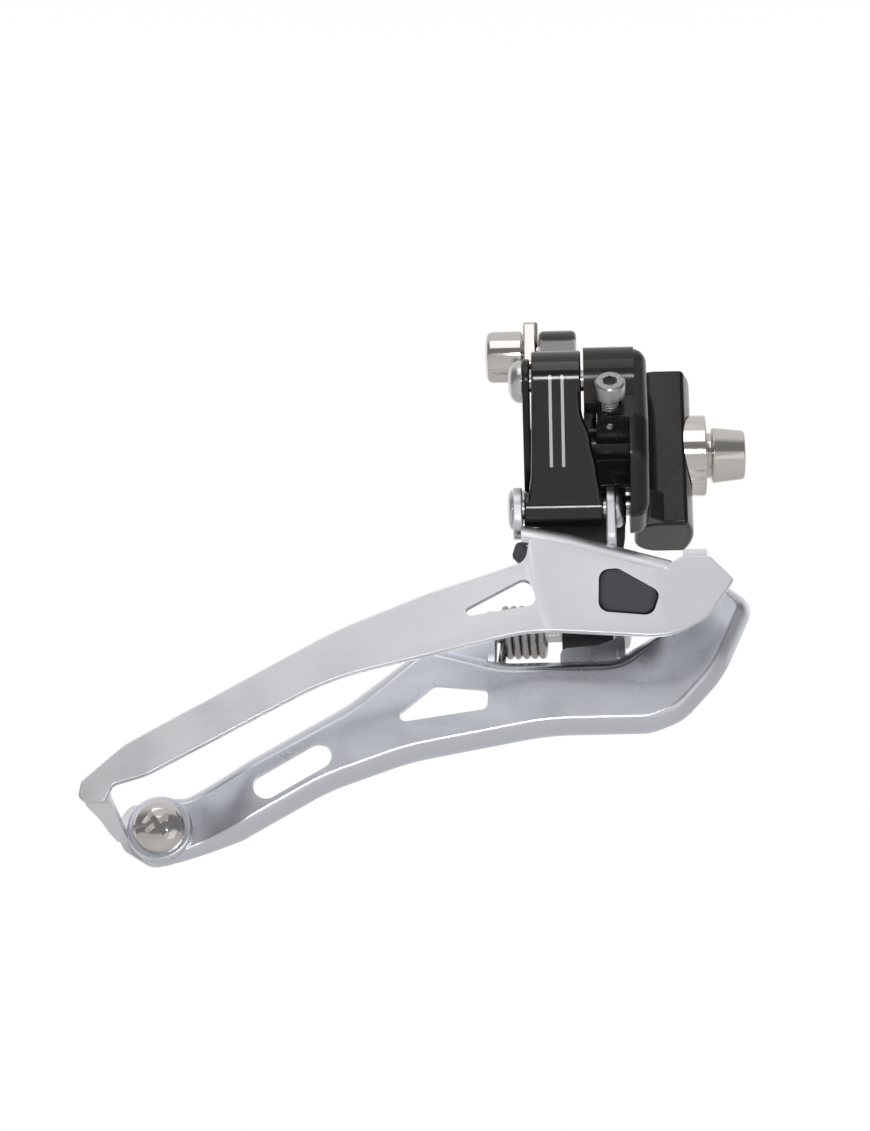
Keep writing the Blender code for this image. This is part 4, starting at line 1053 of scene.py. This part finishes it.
def outer_plate_object():
    """Outer cage plate with its rolled edge, bridge, tail fold, tab and ears."""
    mid = SHEET / 2
    top = BRIDGE_TOP_Z - mid
    bend = 1.8
    near, far = OUTER_FACE_Y + mid, INNER_FACE_Y + SHEET + REST_GAP + mid
    bridge = [
        (y, z, BRIDGE_BACK_X, BRIDGE_FRONT_X) for y, z in (
            (near, -24.0), (near, top - bend), (near + 0.5, top - 0.5), (near + bend, top),
            (far - 1.9, top), (far - 0.5, top - 0.6), (far, top - 2.0), (far, -27.4))]
    fold = [
        (near, -56.3, -89.2, -85.3), (near + 0.3, -57.1, -89.2, -85.3),
        (near + 1.3, -57.6, -89.0, -85.2), (-8.0, -58.4, -87.7, -85.0), (-3.0, -59.0, -87.1, -84.9),
        (TAB_Y[0] + 0.6, -59.3, -86.5, -84.7)]
    tab = rounded([(-87.2, -57.8, 1.2), (-84.6, -54.4, 1.6), (-76.0, -54.6, 3.0), (-75.0, -61.5, 3.0),
                   (-81.0, -64.0, 3.0), (-85.4, -61.2, 1.2)], 10)
    return shape(
        "outer_plate_bright",
        prism(rounded(OUTER_PLATE, 12), "Y", OUTER_FACE_Y, OUTER_FACE_Y + SHEET, 0.25, 3),
        (flange_solid(), strip(bridge, SHEET - 2 * BLEND), strip(fold, SHEET - 2 * BLEND),
         prism(tab, "Y", *TAB_Y),
         ear_solid(LOWER_OUTER, (-11.4, -14.6), EAR_R - 0.3, EAR_BACK_X),
         ear_solid(LOWER_OUTER, (-11.5, -17.6), EAR_R - 0.7, EAR_FRONT_X)),
        (prism(rounded(WINDOW, 12), "Y", -20.0, -12.0), prism(rounded(PAD_WINDOW, 12), "Y", -20.0, -12.0),
         round_bar("X", LOWER_OUTER, PIN_HOLE_R, -35.0, -5.0),
         round_bar("Y", TAIL_SCREW, TAIL_SCREW_R + PIN_FIT, -1.5, 3.0),
         round_bar("Y", BRIDGE_RIVET, RIVET_R + PIN_FIT, -6.0, 0.0)), 0.0, 20)


def inner_plate_object():
    """Pressed inner cage plate with its step, boss, tongues and ears."""
    sheet = tray(rounded(INNER_PLATE, 12), INNER_FACE_Y)
    for k in range(17):
        bmesh.ops.bisect_plane(sheet, geom=sheet.verts[:] + sheet.edges[:] + sheet.faces[:],
                               plane_co=(STEP_START_X - k / 2, 0, 0), plane_no=(1, 0, 0))
    for vert in sheet.verts:
        vert.co.y += STEP_DEEP * ease((STEP_START_X - vert.co.x) / STEP_LONG)
    near_tongue = rounded([(-38.6, -33.6, 0.5), (-36.6, -29.4, 1.5), (-30.4, -29.4, 0.5),
                           (-30.4, -34.4, 0.3)], 8)
    far_tongue = rounded([(-20.6, -34.6, 0.3), (-20.6, -31.6, 1.2), (-15.0, -31.2, 1.0),
                          (-10.9, -29.6, 0.8), (-10.9, -33.6, 0.3)], 8)
    tongue_y = (INNER_FACE_Y + TONGUE_IN, INNER_FACE_Y + TONGUE_IN + SHEET)
    return shape(
        "inner_plate_bright", sheet,
        (round_bar("Y", TAIL_SCREW, TAIL_BOSS_R, INNER_FACE_Y - 0.2, TAB_Y[0] - REST_GAP, 0.4),
         ear_solid(LOWER_INNER, (-0.6, -33.8), 1.5, INNER_EAR_BACK_X),
         ear_solid(LOWER_INNER, (-0.6, -33.2), 1.5, INNER_EAR_FRONT_X),
         prism(near_tongue, "Y", *tongue_y), prism(far_tongue, "Y", *tongue_y)),
        (prism(capsule(SLOT_ENDS[0], SLOT_ENDS[1], SLOT_R, SLOT_R, 24), "Y", -8.0, 3.0),
         prism(rounded(LARGE_HOLE, 12), "Y", -8.0, 3.0),
         round_bar("X", LOWER_INNER, PIN_HOLE_R, -35.0, -5.0),
         round_bar("Y", TAIL_SCREW, TAIL_SCREW_R + PIN_FIT, -8.0, 3.0),
         round_bar("Y", BRIDGE_RIVET, RIVET_R + PIN_FIT, -8.0, 3.0)), 0.0, 20)


def tail_screw_object():
    """Domed screw with a cross recess."""
    face = INNER_FACE_Y - 0.2 - REST_GAP
    profile = [(0, face - 2.3)]
    for s in range(1, 9):
        turn = math.pi / 2 * s / 8
        profile.append((TAIL_HEAD_R * math.sin(turn) ** 0.8, face - 0.4 - 1.9 * math.cos(turn)))
    profile += [(TAIL_HEAD_R, face), (TAIL_SCREW_R, face), (TAIL_SCREW_R, 4.2), (TAIL_SCREW_R - 0.4, 4.6),
                (0, 4.6)]
    x, z = TAIL_SCREW
    bars = []
    for turn in (math.radians(38), math.radians(128)):
        bar = []
        for u, v in ((-1, -1), (1, -1), (1, 1), (-1, 1)):
            bar.append((x + u * 2.0 * math.cos(turn) - v * 0.42 * math.sin(turn),
                        z + u * 2.0 * math.sin(turn) + v * 0.42 * math.cos(turn)))
        bars.append(prism(bar, "Y", face - 4, face - 1.0))
    return shape("tail_screw_bright", aim(turned(profile), (0, 1, 0), (x, 0, z)), (), bars, 0.0, 30)


def pad_object():
    """Pad that sits in its window and spreads behind the plate."""
    gap = 0.25
    middle = [sum(p[k] for p in PAD_WINDOW) / len(PAD_WINDOW) for k in (0, 1)]

    def grown(amount):
        """The window's outline, pushed out from its middle."""
        out = []
        for x, z, radius in PAD_WINDOW:
            away = Vector((x - middle[0], z - middle[1])).normalized() * amount
            out.append((x + away.x, z + away.y, radius))
        return rounded(out, 12)

    back = OUTER_FACE_Y + SHEET
    front = prism(grown(-1.5 * gap), "Y", OUTER_FACE_Y - PAD_PROUD, back + 0.6, 0.7)
    spread_back = prism(grown(1.0), "Y", back + gap, back + 1.1, 0.2)
    return shape("chain_pad_moulded", front, (spread_back,), (), 0.0)


def hook_object():
    """Hook behind the outer plate's shoulder."""
    back = OUTER_FACE_Y + SHEET + 0.2
    plan = rounded([(-27.4, -20.8, 0.5), (-26.6, -18.3, 0.8), (-25.6, -19.0, 0.4), (-23.5, -21.0, 1.0),
                    (-19.0, -22.6, 0.8), (-19.4, -24.4, 0.8), (-24.6, -23.8, 1.2)], 10)
    return shape("liner_hook_moulded", prism(plan, "Y", back, back + 1.5, 0.25), (), (), 0.0)


def spring_object():
    """Torsion spring round the lower inner pin, one leg on the cage and one beside the link."""
    count = 300
    y, z = LOWER_INNER
    path = []
    for i in range(count + 1):
        swept = SPRING_SWEEP_DEG * i / count
        turn = math.radians(SPRING_START_DEG + swept)
        path.append(Vector((SPRING_BACK_X + SPRING_PITCH * swept / 360,
                            y + SPRING_MEAN_R * math.cos(turn), z + SPRING_MEAN_R * math.sin(turn))))
    leg = path[0] - path[1]
    leg.x = 0
    tail = path[-1] - path[-2]
    tail.x = 0
    path = ([path[0] + leg.normalized() * SPRING_CAGE_LEG] + path
            + [path[-1] + tail.normalized() * SPRING_LINK_LEG])
    sides = 14
    sections = []
    for i, point in enumerate(path):
        before, after = path[max(i - 1, 0)], path[min(i + 1, len(path) - 1)]
        along = (after - before).normalized()
        side = along.cross(Vector((1, 0, 0))).normalized()
        other = along.cross(side).normalized()
        sections.append([tuple(point + SPRING_WIRE_R * (side * math.cos(2 * math.pi * k / sides)
                                                        + other * math.sin(2 * math.pi * k / sides)))
                         for k in range(sides)])
    return shape("return_spring_coil", loft(sections), (), (), 0.0, 60)


# ---------------------------------------------------------------- settings

def colour_setting(label, about, default):
    """Property for one colour."""
    return FloatVectorProperty(name=label, description=about, subtype="COLOR", size=3, min=0.0, max=1.0,
                               default=default)


class DerailleurFinish(bpy.types.PropertyGroup):
    casting: colour_setting("Casting paint", "Colour of the fixed casting", (0.012, 0.011, 0.010))
    link: colour_setting("Link paint", "Colour of the outer link", (0.008, 0.008, 0.009))
    lines: colour_setting("Link lines", "Colour of the two printed lines", (0.75, 0.75, 0.76))
    outer_plate: colour_setting("Outer plate", "Colour of the outer cage plate", (0.80, 0.80, 0.83))
    inner_plate: colour_setting("Inner plate", "Colour of the inner cage plate", (0.76, 0.78, 0.84))
    chrome: colour_setting("Chrome", "Colour of the plated bolts", (0.74, 0.71, 0.68))
    steel: colour_setting("Steel", "Colour of the rivets and screws", (0.72, 0.71, 0.70))
    plastic: colour_setting("Plastic", "Colour of the pad and hook", (0.075, 0.070, 0.082))


class DerailleurDetail(bpy.types.PropertyGroup):
    edge_softness: FloatProperty(name="Edge softness", description="Width of the softened edges",
                                 unit="LENGTH", default=0.00012, min=0.0, max=0.0003)
    thread_pitch: FloatProperty(name="Thread pitch", unit="LENGTH", default=0.0005, min=0.0003, max=0.001,
                                description="Distance between the limit screws' crests")


class DerailleurStudio(bpy.types.PropertyGroup):
    key_power: FloatProperty(name="Key power", description="Power of the large soft lamp",
                             default=1.3, min=0.0)
    fill_power: FloatProperty(name="Fill power", description="Power of the low soft lamp",
                              default=0.25, min=0.0)
    near_power: FloatProperty(name="Near power", description="Power of the small lamp beside the camera",
                              default=0.25, min=0.0)
    floor_drop: FloatProperty(name="Floor drop", description="How far the floor lies below the mount",
                              unit="LENGTH", default=0.5, min=0.3)
    floor_colour: colour_setting("Floor", "Colour of the floor", (0.88, 0.87, 0.86))
    front_tone: colour_setting("Room in front", "Tone of the room behind the camera", (0.21, 0.21, 0.215))
    low_tone: colour_setting("Room below", "Tone of the room below the piece", (0.30, 0.27, 0.24))


# ---------------------------------------------------------------- operators

class Finishes(bpy.types.Operator):
    """Make the shared effects and the finishes"""
    bl_idname = "derailleur.finishes"
    bl_label = "Finishes"

    def execute(self, context):
        prepare_finishes()
        return {"FINISHED"}


class Casting(bpy.types.Operator):
    """Make the painted casting"""
    bl_idname = "derailleur.casting"
    bl_label = "Casting"

    def execute(self, context):
        dress(casting_object(), "casting", "black_paint", "body_casting")
        return {"FINISHED"}


class MountHardware(bpy.types.Operator):
    """Make the mounting bolt and its hollow-faced washer"""
    bl_idname = "derailleur.mount_hardware"
    bl_label = "Mounting bolt and washer"

    def execute(self, context):
        dress(mounting_bolt_object(), "casting", "bright_chrome", "mounting_bolt")
        dress(saddle_washer_object(), "casting", "bright_chrome", "saddle_washer")
        return {"FINISHED"}


class LimitScrews(bpy.types.Operator):
    """Make the two limit screws with their threads"""
    bl_idname = "derailleur.limit_screws"
    bl_label = "Limit screws"

    def execute(self, context):
        for name, spec in LIMITS.items():
            dress(limit_screw_object(name), "casting", "zinc_steel", name)
            into = Vector(spec["into"]).normalized()
            start = Vector(spec["top"]) + into * (LIMIT_HEAD_LONG + 0.3)
            dress(ridges(name + "_thread", LIMIT_R, spec["long"] - 0.8, start, into,
                         FINISH["zinc_steel"]), "casting", "zinc_steel")
        return {"FINISHED"}


# Pivot pins: name, body, head radius, and how far the back and front heads stand proud
PINS = (
    ("upper_outer_pivot_pin", "casting", 3.2, 2.0, 0.0),
    ("upper_inner_pivot_pin", "casting", 2.6, 1.2, 0.0),
    ("lower_outer_pivot_pin", "cage", 3.0, 0.7, 1.5),
    ("lower_inner_pivot_pin", "cage", 2.8, 1.0, 1.0),
)
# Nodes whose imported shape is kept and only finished
KEPT_NODES = {
    "upper_outer_bush": "bush_bronze", "lower_outer_bush": "bush_bronze",
    "upper_inner_bush": "bush_bronze", "lower_inner_bush": "bush_bronze",
    "bridge_rivet": "rivet_steel", "tail_nut": "zinc_steel",
}


class Pins(bpy.types.Operator):
    """Make the four pivot pins, and finish the bushes, bridge rivet and tail nut"""
    bl_idname = "derailleur.pins"
    bl_label = "Pins and bushes"

    def execute(self, context):
        for name, body, head_r, back, front in PINS:
            dress(pin_object(name, head_r, back, front), body, "rivet_steel", name)
        for node, finish in KEPT_NODES.items():
            recoat(frame["nodes"][node].data, finish)
        return {"FINISHED"}


class Links(bpy.types.Operator):
    """Make the glossy outer link and the satin inner link"""
    bl_idname = "derailleur.links"
    bl_label = "Links"

    def execute(self, context):
        dress(outer_link_object(), "outer_arm", "black_gloss", "outer_link")
        dress(inner_link_object(), "inner_arm", "black_satin", "inner_link")
        return {"FINISHED"}


class CableClamp(bpy.types.Operator):
    """Make the cable anchor bolt and its clamp washer"""
    bl_idname = "derailleur.cable_clamp"
    bl_label = "Cable clamp"

    def execute(self, context):
        dress(anchor_bolt_object(), "outer_arm", "bright_chrome", "cable_anchor_bolt")
        dress(clamp_washer_object(), "outer_arm", "bright_chrome", "cable_clamp_washer")
        return {"FINISHED"}


class OuterPlate(bpy.types.Operator):
    """Make the outer cage plate"""
    bl_idname = "derailleur.outer_plate"
    bl_label = "Outer plate"

    def execute(self, context):
        dress(outer_plate_object(), "cage", "outer_plate_silver", "outer_cage_plate")
        return {"FINISHED"}


class InnerPlate(bpy.types.Operator):
    """Make the pressed inner cage plate"""
    bl_idname = "derailleur.inner_plate"
    bl_label = "Inner plate"

    def execute(self, context):
        dress(inner_plate_object(), "cage", "inner_plate_silver", "inner_cage_plate")
        return {"FINISHED"}


class TailScrew(bpy.types.Operator):
    """Make the cross-recessed screw at the cage's tail"""
    bl_idname = "derailleur.tail_screw"
    bl_label = "Tail screw"

    def execute(self, context):
        dress(tail_screw_object(), "cage", "bright_chrome", "cage_tail_screw")
        return {"FINISHED"}


class Mouldings(bpy.types.Operator):
    """Make the chain pad and the liner hook"""
    bl_idname = "derailleur.mouldings"
    bl_label = "Plastic pad and hook"

    def execute(self, context):
        dress(pad_object(), "cage", "grey_plastic", "chain_pad")
        dress(hook_object(), "cage", "grey_plastic", "liner_hook")
        return {"FINISHED"}


class Spring(bpy.types.Operator):
    """Make the return spring"""
    bl_idname = "derailleur.spring"
    bl_label = "Return spring"

    def execute(self, context):
        dress(spring_object(), "cage", "spring_steel", "return_spring")
        return {"FINISHED"}


def soft_lamp(name, place, target, size, power):
    """Square lamp turned towards a target."""
    data = bpy.data.lights.new(name, "AREA")
    data.energy = power
    data.size = size
    lamp = bpy.data.objects.new(name, data)
    lamp.location = place
    lamp.rotation_euler = (Vector(target) - Vector(place)).to_track_quat("-Z", "Y").to_euler()
    bpy.context.scene.collection.objects.link(lamp)


def room(settings):
    """Pale room: white behind, light grey overhead, darker in front of the piece and warm below."""
    world = bpy.data.worlds.new("pale_room")
    bpy.context.scene.world = world
    world.use_nodes = True
    tree = world.node_tree
    sky = tree.nodes["Background"]
    look = tree.nodes.new("ShaderNodeTexCoord")
    split = tree.nodes.new("ShaderNodeSeparateXYZ")
    tree.links.new(look.outputs["Generated"], split.inputs[0])

    def between(value, low, high):
        """Smooth rise from 0 to 1 as a value goes from low to high."""
        node = tree.nodes.new("ShaderNodeMapRange")
        node.interpolation_type = "SMOOTHSTEP"
        node.inputs["From Min"].default_value = low
        node.inputs["From Max"].default_value = high
        tree.links.new(value, node.inputs["Value"])
        return node.outputs["Result"]

    depth = blended(tree, between(split.outputs["Y"], 0.0, 0.6), settings.front_tone, WHITE)
    tone = blended(tree, between(split.outputs["Z"], -0.35, 0.05), settings.low_tone, depth)
    tone = blended(tree, between(split.outputs["Z"], 0.5, 0.9), tone, OVERHEAD_TONE)
    tree.links.new(tone, sky.inputs["Color"])


class Stage(bpy.types.Operator):
    """Make the floor, the room, the lamps and the camera"""
    bl_idname = "derailleur.stage"
    bl_label = "Stage"

    def execute(self, context):
        settings = context.scene.derailleur_studio
        context.scene.view_settings.view_transform = "Standard"
        bm = bmesh.new()
        bmesh.ops.create_grid(bm, x_segments=1, y_segments=1, size=4000.0)
        floor = solid("floor", bm)
        floor.data.transform(Matrix.Translation((0, 0, -settings.floor_drop)))
        made, tree, shader = new_material("floor_paper")
        cloud = use(tree, EFFECTS["cloud"], Scale=3.0, Depth=0.02)
        tone = blended(tree, cloud.outputs["Patches"], dark(settings.floor_colour, 0.97),
                       tuple(settings.floor_colour))
        tree.links.new(tone, shader.inputs["Base Color"])
        shader.inputs["Roughness"].default_value = 0.9
        floor.data.materials.append(made)
        room(settings)
        soft_lamp("key", (-0.15, -0.75, 0.55), (-0.04, 0, -0.03), 0.6, settings.key_power)
        soft_lamp("fill", (0.45, -0.6, -0.30), (-0.02, 0, -0.02), 0.5, settings.fill_power)
        soft_lamp("near", (-0.01, -0.47, -0.085), (-0.02, 0, -0.01), 0.07, settings.near_power)
        azimuth, elevation = math.radians(CAMERA_AZIMUTH_DEG), math.radians(CAMERA_ELEVATION_DEG)
        back = Vector((math.sin(azimuth) * math.cos(elevation), -math.cos(azimuth) * math.cos(elevation),
                       math.sin(elevation)))
        right = Vector((math.cos(azimuth), math.sin(azimuth), 0))
        up = right.cross(-back)
        data = bpy.data.cameras.new("camera")
        data.sensor_fit = "VERTICAL"
        data.sensor_height = 24.0
        data.lens = CAMERA_LENS
        data.clip_start = 0.01
        data.clip_end = 20.0
        camera = bpy.data.objects.new("camera", data)
        turn = Matrix((right, up, back)).transposed().to_4x4()
        camera.matrix_world = Matrix.Translation(CAMERA_PLACE) @ turn
        context.scene.collection.objects.link(camera)
        context.scene.camera = camera
        return {"FINISHED"}


OPERATORS = (Finishes, Casting, MountHardware, LimitScrews, Pins, Links, CableClamp, OuterPlate, InnerPlate,
             TailScrew, Mouldings, Spring, Stage)


class DerailleurPanel(bpy.types.Panel):
    """Lists the settings and the pieces"""
    bl_idname = "VIEW3D_PT_derailleur"
    bl_label = "Front derailleur"
    bl_space_type = "VIEW_3D"
    bl_region_type = "UI"
    bl_category = "Derailleur"

    def draw(self, context):
        for settings in (context.scene.derailleur_finish, context.scene.derailleur_detail,
                         context.scene.derailleur_studio):
            box = self.layout.box()
            for key in type(settings).__annotations__:
                box.prop(settings, key)
        for kind in OPERATORS:
            self.layout.operator(kind.bl_idname)


SETTINGS = (("derailleur_finish", DerailleurFinish), ("derailleur_detail", DerailleurDetail),
            ("derailleur_studio", DerailleurStudio))


def register():
    """Add the settings, operators and panel."""
    for key, kind in SETTINGS:
        bpy.utils.register_class(kind)
        setattr(bpy.types.Scene, key, PointerProperty(type=kind))
    for kind in OPERATORS + (DerailleurPanel,):
        bpy.utils.register_class(kind)


def unregister():
    """Take them away in reverse order."""
    for kind in reversed(OPERATORS + (DerailleurPanel,)):
        bpy.utils.unregister_class(kind)
    for key, kind in reversed(SETTINGS):
        delattr(bpy.types.Scene, key)
        bpy.utils.unregister_class(kind)


def main():
    """Build every piece and the stage."""
    register()
    bpy.ops.derailleur.finishes()
    bpy.ops.derailleur.casting()
    bpy.ops.derailleur.mount_hardware()
    bpy.ops.derailleur.limit_screws()
    bpy.ops.derailleur.pins()
    bpy.ops.derailleur.links()
    bpy.ops.derailleur.cable_clamp()
    bpy.ops.derailleur.outer_plate()
    bpy.ops.derailleur.inner_plate()
    bpy.ops.derailleur.tail_screw()
    bpy.ops.derailleur.mouldings()
    bpy.ops.derailleur.spring()
    bpy.ops.derailleur.stage()


if __name__ == "__main__":
    main()
